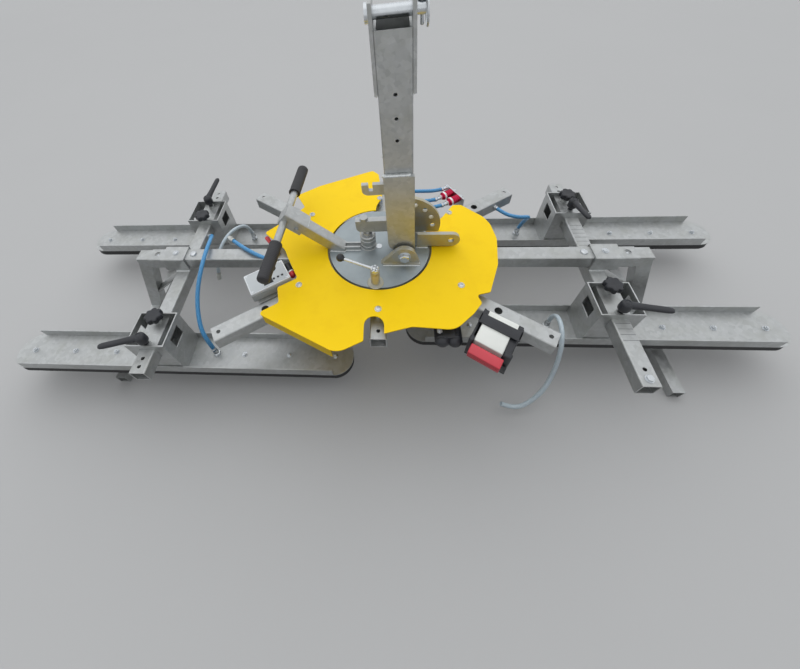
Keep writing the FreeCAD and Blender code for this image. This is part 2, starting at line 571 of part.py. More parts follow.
def hub_spider():
    """Two hub plates with four diagonal arms, two short stubs and the shelves for the gear."""
    parts = []
    for mark, low in (("upper", "beam_top"), ("lower", "beam_top-beam_size-hub_plate")):
        parts.append(cyl("hub_plate_" + mark, "hub_radius", "hub_plate", ("0", "0", low)))
    tools = []
    for step in range(int(val("index_count"))):
        turn = math.radians(val("index_angle") + 360.0 * step / val("index_count"))
        tools.append(cyl("index_hole", "plunger_pin+run_gap", "hub_plate+2",
                         ("index_radius*%.6f" % math.cos(turn), "index_radius*%.6f" % math.sin(turn),
                          "beam_top-1")))
    parts[0] = cut("hub_plate_indexed", parts[0], tools)
    for quarter in range(4):
        angle = (val("arm_angle"), 180 - val("arm_angle"), 180 + val("arm_angle"),
                 -val("arm_angle"))[quarter]
        name = "arm_%d" % quarter
        shell = arm_tube(name, "arm_start", "arm_reach")
        holes = [cyl(name + "_tip_hole", "arm_hole_radius", "arm_size+2",
                     ("arm_hole_at", "0", "beam_top-arm_size-1")),
                 cyl(name + "_port", "arm_port_radius", "arm_wall+2",
                     ("arm_port_at", "0", "beam_top-arm_wall-1"))]
        piece = cut(name + "_drilled", shell, holes)
        extra = []
        if quarter == 2:
            extra.append(box("box_shelf", ("box_length-20", "box_near+box_width-arm_size/2", "shelf_thick"),
                             ("box_start+10", "-box_near-box_width", "beam_top-shelf_thick")))
        if quarter == 3:
            extra.append(box("holder_shelf", ("holder_length", "holder_width-10", "shelf_thick"),
                             ("holder_start", "-arm_size/2-holder_width+10", "beam_top-arm_size")))
        whole = fuse(name + "_whole", [piece] + extra) if extra else piece
        parts.append(turned(name + "_set", whole, angle))
    for mark, angle in (("front", -90), ("rear", 90)):
        name = "stub_" + mark
        shell = arm_tube(name, "stub_start", "stub_reach")
        hole = cyl(name + "_hole", "end_hole_radius", "arm_size+2",
                   ("stub_reach-stub_hole_inset", "0", "beam_top-arm_size-1"))
        parts.append(turned(name + "_set", cut(name + "_drilled", shell, [hole]), angle))
    parts.append(box("pump_shelf", ("pump_spread", "pump_shelf_reach", "shelf_thick"),
                     ("pump_x-pump_spread/2", "pump_front+pump_shelf_inset", "beam_top-arm_size+1")))
    bush = cyl("hub_bush", "king_radius+fit_gap+bush_wall", "beam_size+2*hub_plate",
               ("0", "0", "beam_top-beam_size-hub_plate"))
    bore = cyl("hub_bore", "king_radius+fit_gap", "beam_size+2*hub_plate+2",
               ("0", "0", "beam_top-beam_size-hub_plate-1"))
    node("hub_spider", cut("hub_spider", fuse("hub_solid", parts + [bush]), [bore]))
    ring = cyl("bearing_outer_ring", "bearing_outer", "disc_rise-disc_thick-hub_plate-run_gap",
               ("0", "0", "beam_top+hub_plate"))
    eye = cyl("bearing_inner_hole", "bearing_inner", "disc_rise", ("0", "0", "beam_top+hub_plate-1"))
    node("bearing_ring", cut("bearing_ring", ring, [eye]))


def screw_places():
    """Where the cover's six screws stand, as expressions."""
    places = []
    for turn in (val("arm_angle"), 180 - val("arm_angle"), 180 + val("arm_angle"), -val("arm_angle")):
        places.append(("screw_at_arm*%.6f" % math.cos(math.radians(turn)),
                       "screw_at_arm*%.6f" % math.sin(math.radians(turn))))
    places.append(("0", "-screw_at_stub"))
    places.append(("0", "screw_at_stub"))
    return places


def cover():
    corners = [("cover_x_%d" % number, "cover_y_%d" % number) for number in range(len(COVER))]
    sheet = plate("cover_sheet", corners, "cover_thick", ("0", "0", "beam_top+cover_rise"))
    # Corners that turn little are drawn as long sweeps, the others as short rounds.
    outline = [V(val(x), val(y), 0) for x, y in corners]
    shallow = []
    for number, spot in enumerate(outline):
        back = outline[number - 1] - spot
        ahead = outline[(number + 1) % len(outline)] - spot
        room = 0.45 * min(back.Length, ahead.Length)
        turn = math.pi - back.getAngle(ahead)
        if val("cover_sweep") * math.tan(turn / 2) < room:
            shallow.append(spot)

    def sweeps(edge):
        middle = edge.CenterOfMass
        return any(math.hypot(middle.x - spot.x, middle.y - spot.y) < 0.01 for spot in shallow)

    swept = rounded("cover_swept", sheet, "cover_sweep", V(0, 0, 1), sweeps)
    doc.recompute()
    sharp = [spot for spot in outline if spot not in shallow]

    def turns(edge):
        middle = edge.CenterOfMass
        return any(math.hypot(middle.x - spot.x, middle.y - spot.y) < 0.01 for spot in sharp)

    round_sheet = rounded("cover_round", swept, "cover_corner", V(0, 0, 1), turns)
    hole = cyl("cover_hole_tool", "cover_hole", "cover_thick+2", ("0", "0", "beam_top+cover_rise-1"))
    # A round-ended notch lets the front stub's end show.
    tools = [hole, cyl("cover_notch_end", "notch_radius", "cover_thick+2",
                       ("notch_x", "notch_y", "beam_top+cover_rise-1")),
             box("cover_notch_run", ("2*notch_radius", "3*notch_radius", "cover_thick+2"),
                 ("notch_x-notch_radius", "notch_y-3*notch_radius", "beam_top+cover_rise-1"))]
    for index, (x, y) in enumerate(screw_places()):
        tools.append(cyl("cover_screw_hole_%d" % index, "screw_radius+screw_gap", "cover_thick+2",
                         (x, y, "beam_top+cover_rise-1")))
    flat = cut("cover_flat", round_sheet, tools)
    # The front-left edge is bent down as a flap between its two corners.
    first = V(val("cover_x_16"), val("cover_y_16"), 0)
    last = V(val("cover_x_17"), val("cover_y_17"), 0)
    run = last - first
    inset = val("cover_corner") * 2
    flap = doc.addObject("Part::Box", "cover_flap")
    flap.Length = run.Length - 2 * inset
    bind(flap, Width="cover_thick", Height="flap_drop+cover_thick")
    turn = math.degrees(math.atan2(run.y, run.x))
    start = first + run * (inset / run.Length)
    locate(flap, ("%.6f" % start.x, "%.6f" % start.y, "beam_top+cover_rise-flap_drop"), V(0, 0, 1), turn)
    node("cover", fuse("cover", [flat, flap]))


def frame_fasteners():
    pieces = []
    for index, (x, y) in enumerate(screw_places()):
        post = cyl("post_%d" % index, "post_radius", "cover_rise", (x, y, "beam_top"))
        shank = cyl("shank_%d" % index, "screw_radius", "cover_rise+cover_thick+1", (x, y, "beam_top"))
        head = cyl("head_%d" % index, "screw_head", "screw_head_tall",
                   (x, y, "beam_top+cover_rise+cover_thick"))
        pieces.append(fuse("cover_screw_%d" % index, [post, shank, head]))
    for side, sign in SIDES.items():
        x = sign + "*(beam_length/2-leg_bolt_inset)"
        shank = cyl("leg_bolt_" + side, "screw_radius", "beam_size-beam_wall+1",
                    (x, "0", "beam_top-beam_size-1"))
        head = cyl("leg_bolt_head_" + side, "screw_head", "screw_head_tall+1",
                   (x, "0", "beam_top-beam_size-screw_head_tall-1"))
        pieces.append(fuse("leg_bolt_set_" + side, [shank, head]))
        x = sign + "*(cross_x+cross_size/4)"
        pieces.append(cyl("sleeve_bolt_" + side, "screw_head", "screw_head_tall",
                          (x, "0", "beam_top+slide_gap+sleeve_wall")))
        x = sign + "*(cross_x-cross_size)"
        shank = cyl("beam_bolt_shank_" + side, "screw_radius", "beam_wall+2",
                    (x, "0", "beam_top-beam_wall-1"))
        head = cyl("beam_bolt_" + side, "screw_head", "screw_head_tall+1", (x, "0", "beam_top"))
        pieces.append(fuse("beam_bolt_set_" + side, [shank, head]))
    node("frame_fasteners", group("frame_fasteners", pieces))


def turntable():
    disc = cyl("disc_blank", "disc_radius", "disc_thick", ("0", "0", DISC_LOW))
    turn = math.radians(val("index_angle"))
    pin_x = "index_radius*%.6f" % math.cos(turn)
    pin_y = "index_radius*%.6f" % math.sin(turn)
    neck = cyl("disc_neck_hole", "king_neck+screw_gap", "disc_thick+2", ("0", "0", DISC_LOW + "-1"))
    hole = cyl("disc_pin_hole", "plunger_pin+run_gap", "disc_thick+2", (pin_x, pin_y, DISC_LOW + "-1"))
    node("turntable_disc", cut("turntable_disc", disc, [neck, hole]))
    foot = "(beam_top-beam_size-hub_plate-run_gap)"
    shaft = cyl("king_shaft", "king_radius", "%s-%s" % (DISC_LOW, foot), ("0", "0", foot))
    flange = cyl("king_flange_disc", "king_flange", "king_flange_tall",
                 ("0", "0", foot + "-king_flange_tall"))
    stem = cyl("king_stem", "king_neck", "disc_thick+2", ("0", "0", DISC_LOW + "-1"))
    node("king_pin", fuse("king_pin", [shaft, flange, stem]))


def tilt_lugs():
    """The front hinge lug, the rear sector plate and the lug that holds the mast when it lies over."""
    mid = "(beam_top+hinge_rise)"
    round_lug = cyl("lug_round", "lug_radius", "lug_thick", ("hinge_x", "-lug_inner-lug_thick", mid), "y")
    corners = (("lug_left", "lug_base"), ("lug_right", "lug_base"), ("lug_right_side", "lug_right_high"),
               ("lug_left_side", "lug_left_high"))
    spread = plate("lug_spread", corners, "lug_thick", ("0", "0", "0"))
    locate(spread, ("hinge_x", "-lug_inner", DISC_TOP), V(1, 0, 0), 90)
    rib = box("lug_rib_bar", ("lug_right-lug_left-lug_rib", "lug_rib+1", "lug_rib"),
              ("hinge_x+lug_left+lug_rib", "-lug_inner-lug_thick-lug_rib", DISC_TOP))
    hole = cyl("lug_hole", "hinge_radius+fit_gap", "lug_thick+2",
               ("hinge_x", "-lug_inner-lug_thick-1", mid), "y")
    front = cut("hinge_lug", fuse("lug_solid", [round_lug, spread, rib]), [hole])
    wheel = cyl("sector_wheel", "sector_radius", "sector_thick", ("hinge_x", "sector_inner", mid), "y")
    upper = box("sector_upper", ("lug_radius+sector_radius", "sector_thick", "2*sector_radius"),
                ("hinge_x-lug_radius", "sector_inner", DISC_TOP + "+sector_lift"))
    reach = "(sqrt(disc_radius^2-(sector_inner+sector_thick)^2)-2)"
    lower = box("sector_lower", (reach + "-hinge_x+lug_radius", "sector_thick", "sector_lift+1"),
                ("hinge_x-lug_radius", "sector_inner", DISC_TOP))
    blank = common("sector_blank", wheel, fuse("sector_bounds", [upper, lower]))
    tools = [cyl("sector_pivot", "hinge_radius+fit_gap", "sector_thick+2",
                 ("hinge_x", "sector_inner-1", mid), "y")]
    for turn in (0, 22.5, 45, 67.5, 90):
        tools.append(cyl("sector_hole", "sector_hole_radius", "sector_thick+2",
                         ("hinge_x+sector_hole_at*%.6f" % math.cos(math.radians(turn)), "sector_inner-1",
                          "%s+sector_hole_at*%.6f" % (mid, math.sin(math.radians(turn)))), "y"))
    rear = cut("sector_plate", blank, tools)
    top = "(%s+sector_lift+lock_lug_radius)" % DISC_TOP
    tip = cyl("lock_lug_tip", "lock_lug_radius", "lock_lug_thick",
              ("lock_lug_hole_x", "-lock_lug_thick/2", top), "y")
    bar = box("lock_lug_bar", ("lock_lug_hole_x-lock_lug_start", "lock_lug_thick", "2*lock_lug_radius"),
              ("lock_lug_start", "-lock_lug_thick/2", DISC_TOP + "+sector_lift"))
    stand = box("lock_lug_stand", ("lock_lug_foot", "lock_lug_thick", "sector_lift+1"),
                ("lock_lug_start", "-lock_lug_thick/2", DISC_TOP))
    eye = cyl("lock_lug_eye", "lock_hole_radius", "lock_lug_thick+2",
              ("lock_lug_hole_x", "-lock_lug_thick/2-1", top), "y")
    lock = cut("lock_lug", fuse("lock_lug_solid", [tip, bar, stand]), [eye])
    node("tilt_lugs", group("tilt_lugs", [front, rear, lock]))
    start = "(-lug_inner-lug_thick-bolt_head_tall)"
    stop = "(sector_inner+sector_thick+bolt_head_tall)"
    shaft = cyl("hinge_shaft", "hinge_radius", "%s-%s" % (stop, start), ("hinge_x", start, mid), "y")
    head = cyl("hinge_head", "bolt_head_radius", "bolt_head_tall", ("hinge_x", start, mid), "y")
    nut = cyl("hinge_nut", "bolt_head_radius", "bolt_head_tall",
              ("hinge_x", "sector_inner+sector_thick", mid), "y")
    near = "(mast_size/2+cheek_thick+run_gap)"
    front_collar = cyl("hinge_collar_front", "collar_radius", "lug_inner-%s" % near,
                       ("hinge_x", "-lug_inner", mid), "y")
    rear_collar = cyl("hinge_collar_rear", "collar_radius", "sector_inner-%s" % near,
                      ("hinge_x", near, mid), "y")
    node("hinge_bolt", fuse("hinge_bolt", [shaft, head, nut, front_collar, rear_collar]))


def push_handle():
    """Built level along X with its top face at zero, then sloped, swung and cut off flat on the disc."""
    arm = tube("handle_arm", ("handle_reach+handle_run_in-2", "handle_width", "handle_tall"),
               ("-handle_run_in", "-handle_width", "-handle_tall"), "arm_wall", "x")
    head = rounded("handle_head_round",
                   box("handle_head", ("handle_reach-handle_head_start", "handle_head_width",
                                       "handle_head_tall"),
                       ("handle_head_start", "-handle_head_width", "-handle_head_tall")),
                   "tube_corner", V(1, 0, 0))
    bolt = cyl("handle_bolt", "handle_bolt_radius", "handle_bolt_tall+2",
               ("handle_bolt_at", "-2", "-handle_bolt_low"), "y")
    middle = "(-handle_head_width/2)"
    bar = cyl("handle_bar", "bar_radius", "2*bar_half", ("bar_at", middle + "-bar_half", "-bar_low"), "y")
    slope = (V(0, 1, 0), -val("handle_slope"))
    lift = ("0", "0", DISC_TOP + "+handle_tip")
    sloped = locate(fuse("handle_level", [arm, head, bolt, bar]), lift, *slope)
    below = box("handle_below", ("400", "200", "200"), ("-200", "-100", DISC_TOP + "-200"))
    before = box("handle_before", ("200", "200", "200"), ("-200", "-100", DISC_TOP + "-100"))
    place = ("handle_x", "handle_y", "0")
    swung = turned("handle_swung", cut("handle_trimmed", sloped, [below, before]), val("handle_turn"),
                   place)
    # A short channel stiffens the disc between the handle's foot and the stop barrel.
    web = box("link_block", ("stop_x-stop_radius-run_gap-link_start", "link_width", "link_tall"),
              ("link_start", "link_low", DISC_TOP))
    groove = box("link_groove", ("stop_x-link_start", "link_width-2*link_wall", "link_tall"),
                 ("link_start-1", "link_low+link_wall", DISC_TOP + "+link_wall"))
    link = cut("link_channel", web, [groove])
    node("handle_frame", fuse("handle_frame", [swung, link]))
    grips = []
    for mark, low_end, bore_end in (("front", "bar_half-grip_length+grip_end", "bar_half-grip_length"),
                                    ("rear", "-bar_half-grip_end", "-bar_half-fit_gap")):
        outer = cyl("grip_" + mark, "grip_radius", "grip_length",
                    ("bar_at", middle + "+" + low_end, "-bar_low"), "y")
        bore = cyl("grip_bore_" + mark, "bar_radius+fit_gap", "grip_length+fit_gap",
                   ("bar_at", middle + "+" + bore_end, "-bar_low"), "y")
        grips.append(cut("grip_set_" + mark, outer, [bore]))
    held = locate(group("grips_level", grips), lift, *slope)
    node("handle_grips", turned("handle_grips", held, val("handle_turn"), place))


def index_plunger():
    turn = math.radians(val("index_angle"))
    x = "(index_radius*%.6f)" % math.cos(turn)
    y = "(index_radius*%.6f)" % math.sin(turn)
    flange = cyl("plunger_flange_ring", "plunger_flange", "plunger_flange_tall", (x, y, DISC_TOP))
    barrel = cyl("plunger_body", "plunger_barrel", "plunger_tall", (x, y, DISC_TOP))
    bore = cyl("plunger_bore", "plunger_pin+run_gap", "plunger_tall-2", (x, y, DISC_TOP + "-1"))
    node("plunger_barrel", cut("plunger_barrel_set", fuse("plunger_solid", [flange, barrel]), [bore]))
    node("plunger_pin", cyl("plunger_pin_rod", "plunger_pin", "plunger_pin_length",
                            (x, y, DISC_LOW + "+run_gap")))
    low = "(%s+plunger_tall+run_gap)" % DISC_TOP
    cap = cyl("plunger_cap", "plunger_barrel-1", "plunger_cap_tall", (x, y, low))
    aim = math.radians(val("plunger_lever_angle"))
    rod = doc.addObject("Part::Cylinder", "plunger_lever_rod")
    bind(rod, Radius="plunger_rod", Height="plunger_lever_length")
    spin = FreeCAD.Rotation(V(0, 0, 1), V(math.cos(aim), math.sin(aim), 0))
    locate(rod, (x, y, low + "+plunger_cap_tall/2"), spin.Axis, math.degrees(spin.Angle))
    knob = ball("plunger_knob", "plunger_ball", ("%s+plunger_lever_length*%.6f" % (x, math.cos(aim)),
                                                 "%s+plunger_lever_length*%.6f" % (y, math.sin(aim)),
                                                 low + "+plunger_cap_tall/2"))
    node("plunger_lever", fuse("plunger_lever", [cap, rod, knob]))
    barrel = cyl("stop_body", "stop_radius", "stop_tall", ("stop_x", "stop_y", DISC_TOP))
    top = cyl("stop_cap", "stop_cap_radius", "stop_cap_tall+1",
              ("stop_x", "stop_y", DISC_TOP + "+stop_tall-1"))
    node("stop_barrel", fuse("stop_barrel", [barrel, top]))


def mast():
    """Built upright about its hinge, then leaned to its resting place."""
    left = "(mast_offset-mast_size/2)"
    right = "(mast_offset+mast_size/2)"
    shell = doc.addObject("Part::Box", "mast_block")
    bind(shell, Length="mast_size", Width="mast_size", Height="mast_top-fork_height")
    locate(shell, (left, "-mast_size/2", "fork_height"))
    round_shell = rounded("mast_round", shell, "tube_corner", V(0, 0, 1))
    bore = box("mast_bore", ("mast_size-2*mast_wall", "mast_size-2*mast_wall", "mast_top-fork_height+2"),
               (left + "+mast_wall", "-mast_size/2+mast_wall", "fork_height-1"))
    parts = [cut("mast_tube", round_shell, [bore])]
    width = "(mast_size+2*cheek_side)"
    for mark, low in (("front", "-mast_size/2-cheek_thick"), ("rear", "mast_size/2")):
        cheek = box("cheek_block_" + mark, (width, "cheek_thick", "cheek_height"),
                    (left + "-cheek_side", low, "0"))
        parts.append(rounded("cheek_" + mark, cheek, "cheek_corner", V(0, 1, 0),
                             lambda edge: edge.CenterOfMass.x < 0 and edge.CenterOfMass.z < val("web_low")))
        parts.append(cyl("cheek_toe_" + mark, "cheek_round", "cheek_thick", ("0", low, "0"), "y"))
    parts.append(box("fork_web", ("cheek_side+6", "mast_size+2", "fork_height-web_low+2"),
                     (left + "-cheek_side", "-mast_size/2-1", "web_low")))
    for mark, low in (("left", left + "-strip_thick"), ("right", right)):
        parts.append(box("strip_" + mark, ("strip_thick", "mast_size-4",
                                           "lift_pin_height+strip_over-strip_low"),
                         (low, "-mast_size/2+2", "strip_low")))
    hook = box("hook_block", (left + "-hook_tip", "hook_thick", "hook_tall"),
               ("hook_tip", "hook_y-hook_thick/2", "hook_low"))
    parts.append(rounded("hook_plate", hook, "hook_corner", V(0, 1, 0),
                         lambda edge: edge.CenterOfMass.x < val("slot_x")
                         and edge.CenterOfMass.z < val("hook_low") + val("hook_tall") / 2))
    bar = box("stop_bar_block", (left + "-stop_bar_tip", "stop_bar_thick", "stop_bar_tall"),
              ("stop_bar_tip", "hook_y-stop_bar_thick/2", "stop_bar_low"))
    parts.append(rounded("stop_bar", bar, "stop_bar_corner", V(0, 1, 0),
                         lambda edge: edge.CenterOfMass.x < val("stop_bolt_x")
                         and edge.CenterOfMass.z < val("stop_bar_low") + val("stop_bar_tall") / 2))
    cap = "(disc_rise+stop_tall+stop_cap_tall-hinge_rise)"
    parts.append(cyl("stop_bolt", "stop_bolt_radius", "stop_bar_low+stop_bar_tall-%s-stop_gap+1" % cap,
                     ("stop_bolt_x", "hook_y", "%s+stop_gap" % cap)))
    parts.append(cyl("stop_bolt_hex", "stop_bolt_head", "stop_bolt_head_tall",
                     ("stop_bolt_x", "hook_y", "stop_bar_low+stop_bar_tall")))
    solid = fuse("mast_solid", parts)
    span = "mast_size+2*cheek_thick+2"
    tools = [cyl("mast_pivot", "hinge_radius+fit_gap", span, ("0", "-mast_size/2-cheek_thick-1", "0"), "y"),
             box("hook_slot", ("slot_width", "hook_thick+2", "slot_depth+1"),
                 ("slot_x-slot_width/2", "hook_y-hook_thick/2-1", "hook_low+hook_tall-slot_depth")),
             cyl("lift_pin_hole", "lift_pin_radius+fit_gap", "mast_size+2*strip_thick+2",
                 (left + "-strip_thick-1", "0", "lift_pin_height"), "x")]
    for step in range(3):
        tools.append(cyl("mast_hole", "mast_hole_radius", "mast_size+2",
                         ("mast_offset", "-mast_size/2-1", "mast_hole_low+%d*mast_hole_pitch" % step), "y"))
    base = ("hinge_x", "0", "beam_top+hinge_rise")
    lean = (V(0, 1, 0), -val("mast_lean"))
    node("mast", locate(cut("mast", solid, tools), base, *lean))
    head_low = "(%s-strip_thick-run_gap-lift_pin_head_tall)" % left
    shaft = cyl("lift_shaft", "lift_pin_radius",
                "mast_size+2*strip_thick+2*run_gap+lift_pin_head_tall+lift_pin_end",
                (head_low, "0", "lift_pin_height"), "x")
    head = cyl("lift_head", "lift_pin_head", "lift_pin_head_tall", (head_low, "0", "lift_pin_height"), "x")
    hole_x = "(%s+strip_thick+linch_hole_at)" % right
    eye = cyl("lift_eye", "linch_radius+run_gap", "2*lift_pin_radius+2",
              (hole_x, "0", "lift_pin_height-lift_pin_radius-1"))
    node("lifting_pin", locate(cut("lifting_pin", fuse("lift_solid", [shaft, head]), [eye]), base, *lean))
    stem = cyl("linch_stem", "linch_radius", "linch_length", (hole_x, "0",
                                                              "lift_pin_height-linch_length/2-2"))
    cap_disc = cyl("linch_cap", "linch_radius+4", "linch_cap_tall",
                   (hole_x, "0", "lift_pin_height+lift_pin_radius+run_gap"))
    bail = doc.addObject("Part::Torus", "linch_bail")
    bind(bail, Radius1="bail_radius", Radius2="bail_wire")
    locate(bail, (hole_x + "+lift_pin_end-linch_hole_at+run_gap+bail_wire", "0",
                  "lift_pin_height+lift_pin_radius+run_gap+linch_cap_tall/2-bail_radius"), V(0, 1, 0), 90)
    node("linch_pin", locate(fuse("linch_pin", [stem, cap_disc, bail]), base, *lean))


def control_box():
    angle = 180 + val("arm_angle")
    block = rounded("box_round", box("box_block", ("box_length", "box_width", "box_tall"),
                                     ("box_start", "-box_near-box_width", "beam_top")), "tube_corner",
                                     V(0, 0, 1))
    node("control_box", turned("control_box_set", block, angle))
    knob = cyl("box_knob", "box_knob_radius", "box_knob_tall",
               ("box_start+box_length*0.3", "-box_near-box_width*0.75", "beam_top+box_tall"))
    node("control_knob", turned("control_knob_set", knob, angle))


def battery_gear():
    """A black holder on the front-right arm, open at its outer end, where the battery slides out."""
    angle = -val("arm_angle")
    floor = "(beam_top-arm_size+shelf_thick)"
    near = "(-arm_size/2-holder_width)"
    outer = box("holder_block", ("holder_length", "holder_width", "holder_tall"),
                ("holder_start", near, floor))
    room = box("holder_room", ("holder_length", "holder_width-battery_near+arm_size/2-holder_wall",
                               "holder_tall"),
               ("holder_start+holder_wall", near + "+holder_wall", floor + "+holder_wall"))
    block = box("charge_block", ("battery_block_long", "battery_block", "battery_block_tall"),
                ("holder_start+battery_block_at", near + "-battery_block", floor + "+battery_block_rise"))
    shell = fuse("holder_shell", [cut("holder_cut", outer, [room]), block])
    node("battery_holder", turned("battery_holder_set", shell, angle))
    cell = box("battery_cell", ("holder_length-holder_wall-battery_gap",
                                "holder_width-battery_near+arm_size/2-holder_wall-2*battery_gap",
                                "battery_tall"),
               ("holder_start+holder_wall+battery_gap", near + "+holder_wall+battery_gap",
                floor + "+holder_wall"))
    node("battery", turned("battery_set", rounded("battery_round", cell, "tube_corner", V(0, 0, 1)), angle))


def vacuum_pump():
    z = "(beam_top-arm_size+1+shelf_thick+pump_radius)"
    parts = []
    for mark in ("-", "+"):
        parts.append(cyl("pump_barrel", "pump_radius", "pump_length",
                         ("pump_x%spump_spread/2" % mark, "pump_front", z), "y"))
    parts.append(box("pump_body", ("pump_spread", "pump_length-20", "2*pump_radius"),
                     ("pump_x-pump_spread/2", "pump_front+12", z + "-pump_radius")))
    node("vacuum_pump", fuse("vacuum_pump", parts))


def valve_gear():
    angle = val("arm_angle")
    z = "(beam_top+valve_rise)"
    sheet = box("valve_sheet", ("valve_plate", "valve_plate_width", "valve_rise+filter_radius+arm_size/2"),
                ("valve_at", "arm_size/2", "beam_top-arm_size/2"))
    nipples = []
    filters = []
    for step in range(2):
        y = "(valve_near+%d*valve_pitch)" % step
        filters.append(cyl("filter_%d" % step, "filter_radius", "filter_length",
                           ("valve_at-filter_length", y, z), "x"))
        nipples.append(cyl("nipple_%d" % step, "nipple_radius", "nipple_length",
                           ("valve_at-filter_length-nipple_length", y, z), "x"))
    node("valve_filters", turned("valve_filters_set", group("valve_filters_local", filters), angle))
    elbow = cyl("valve_elbow", "nipple_radius", "nipple_length+valve_plate",
                ("valve_at-nipple_length", "elbow_at", "beam_top+elbow_rise"), "x")
    plate_set = fuse("valve_plate_set", [sheet, elbow])
    swung = turned("valve_bodies_set", group("valve_bodies_local", [plate_set] + nipples), angle)
    stand = cyl("ball_valve_body", "ball_valve_radius", "ball_valve_tall",
                ("ball_valve_x", "0", "beam_top"))
    node("valve_bodies", group("valve_bodies", [swung, stand]))
    low = "(beam_top+ball_valve_tall+run_gap)"
    hub = cyl("red_lever_hub", "red_lever_width/2+1", "red_lever_thick", ("0", "0", "0"))
    bar = box("red_lever_bar", ("red_lever_length", "red_lever_width", "red_lever_thick"),
              ("0", "-red_lever_width/2", "0"))
    lever = turned("valve_lever_set", fuse("red_lever_local", [hub, bar]), val("red_lever_angle"),
                   ("ball_valve_x", "0", low))
    node("valve_lever", lever)


def hoses():
    top = val("beam_top")
    level = val("pad_level") + val("barb_tall") + val("hose_off_barb")

    def barb(corner):
        sign = float(SIDES[PADS[corner]])
        return V(sign * (val("pad_x") - val("barb_inset")), val("pad_y_" + corner), level)

    def up(x, y, z):
        return V(x, y, top + z)

    end = barb("front_left")
    face_x = val("cross_x") - val("cross_size") / 2
    hose("hose_front_left", [[up(4.5 - face_x, 120, -60), up(-519, 104, -36), up(-495, 62, -1),
                              up(-483, 4, 15),
                              up(-478, -60, 11), up(-481, -125, -24), V(end.x - 23, end.y + 31, top - 70),
                              V(end.x - 5, end.y + 5, level + 40), end]])
    end = barb("rear_right")
    swing = math.radians(val("arm_angle"))
    along = V(math.cos(swing), math.sin(swing), 0)
    across = V(-math.sin(swing), math.cos(swing), 0)
    start = along * 395 - across * (val("arm_size") / 2 + val("hose_off_arm"))
    start.z = top - val("arm_size") / 2
    hose("hose_rear_right", [[start, start - across * 38 + V(0, 0, 2), up(402, 146.5, -19),
                              up(436, 158, -29),
                              V(end.x + 3, end.y - 34, level + 86), V(end.x + 5, end.y - 12, level + 50),
                              end]])
    end = barb("rear_left")
    hose("hose_rear_left", [[end, V(end.x - 2, end.y - 4, level + 44), up(-462, 170, -66),
                             up(-484, 125, -58),
                             up(-498, 75, -68), up(-507, 42, -98), up(-510, 27, -135)]], True)
    end = barb("front_right")
    hose("hose_free", [[end, V(end.x, end.y - 1, level + 36), V(end.x - 1.5, end.y - 24, level + 64),
                        V(end.x - 6, end.y - 60, level + 69), up(437, -211, -95),
                        up(431.5, -237, -134), up(421, -261, -173), up(401, -285, -208),
                        up(369, -303, -240), up(337, -310, -247), up(306, -304, -236)]])
    swing = math.radians(180 + val("arm_angle"))
    along = V(math.cos(swing), math.sin(swing), 0)
    across = V(math.sin(swing), -math.cos(swing), 0)
    aside = val("box_near") + val("box_width") + val("hose_off_arm")
    start = along * (val("box_start") + 24) + across * aside
    start.z = top + 17
    hose("hose_supply", [[start, start + across * 28 + V(-3, 0, 0), up(-330, -16, 11), up(-386, 18, 7.5),
                          up(-426, 50, 2)]], True)
    swing = math.radians(val("arm_angle"))
    along = V(math.cos(swing), math.sin(swing), 0)
    across = V(-math.sin(swing), math.cos(swing), 0)
    runs = []
    stub_x = val("arm_size") / 2 + val("hose_off_face")
    short = val("valve_at") - val("filter_length") - val("nipple_length")
    spots = [(short, val("valve_near"), val("valve_rise")),
             (short, val("valve_near") + val("valve_pitch"), val("valve_rise")),
             (val("valve_at") - val("nipple_length"), val("elbow_at"), val("elbow_rise"))]
    ways = [[(152, 149, 22), (112, 156, 20), (66, 164, -2), (stub_x, 160, -20)],
            [(136, 174, 23), (94, 184, 27), (56, 204, 7), (stub_x, 206, -20)],
            [(164, 215, 29), (125, 213, 31), (78, 228, 18), (stub_x, 230, -20)]]
    for (reach, aside, rise), rest in zip(spots, ways):
        place = along * (reach - val("hose_off_nipple")) + across * aside
        place.z = top + rise
        runs.append([place] + [up(x, y, z) for x, y, z in rest])
    hose("hose_valves", runs)


main_beam()
for one_side in SIDES:
    cross_tube(one_side)
    leg(one_side)
for one_corner in PADS:
    pad(one_corner)
    carrier(one_corner)
    star_knob(one_corner)
    clamp_lever(one_corner)
hub_spider()
cover()
frame_fasteners()
turntable()
tilt_lugs()
push_handle()
index_plunger()
mast()
control_box()
battery_gear()
vacuum_pump()
valve_gear()
hoses()
doc.recompute()

problems = []
for item in doc.Objects:
    if "Invalid" in item.State or "Error" in item.State:
        problems.append("%s (%s) is %s" % (item.Name, item.Label, item.State))
for item in NODES:
    if item.Shape.isNull() or not item.Shape.isValid():
        problems.append("%s has no valid shape" % item.Label)
if problems:
    raise RuntimeError("; ".join(problems))
os.makedirs("parts", exist_ok=True)
for item in NODES:
    item.Shape.exportStep("parts/%s.step" % item.Label)
print("%d nodes" % len(NODES))
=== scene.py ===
import math

import bmesh
import bpy
from mathutils import Matrix, Vector


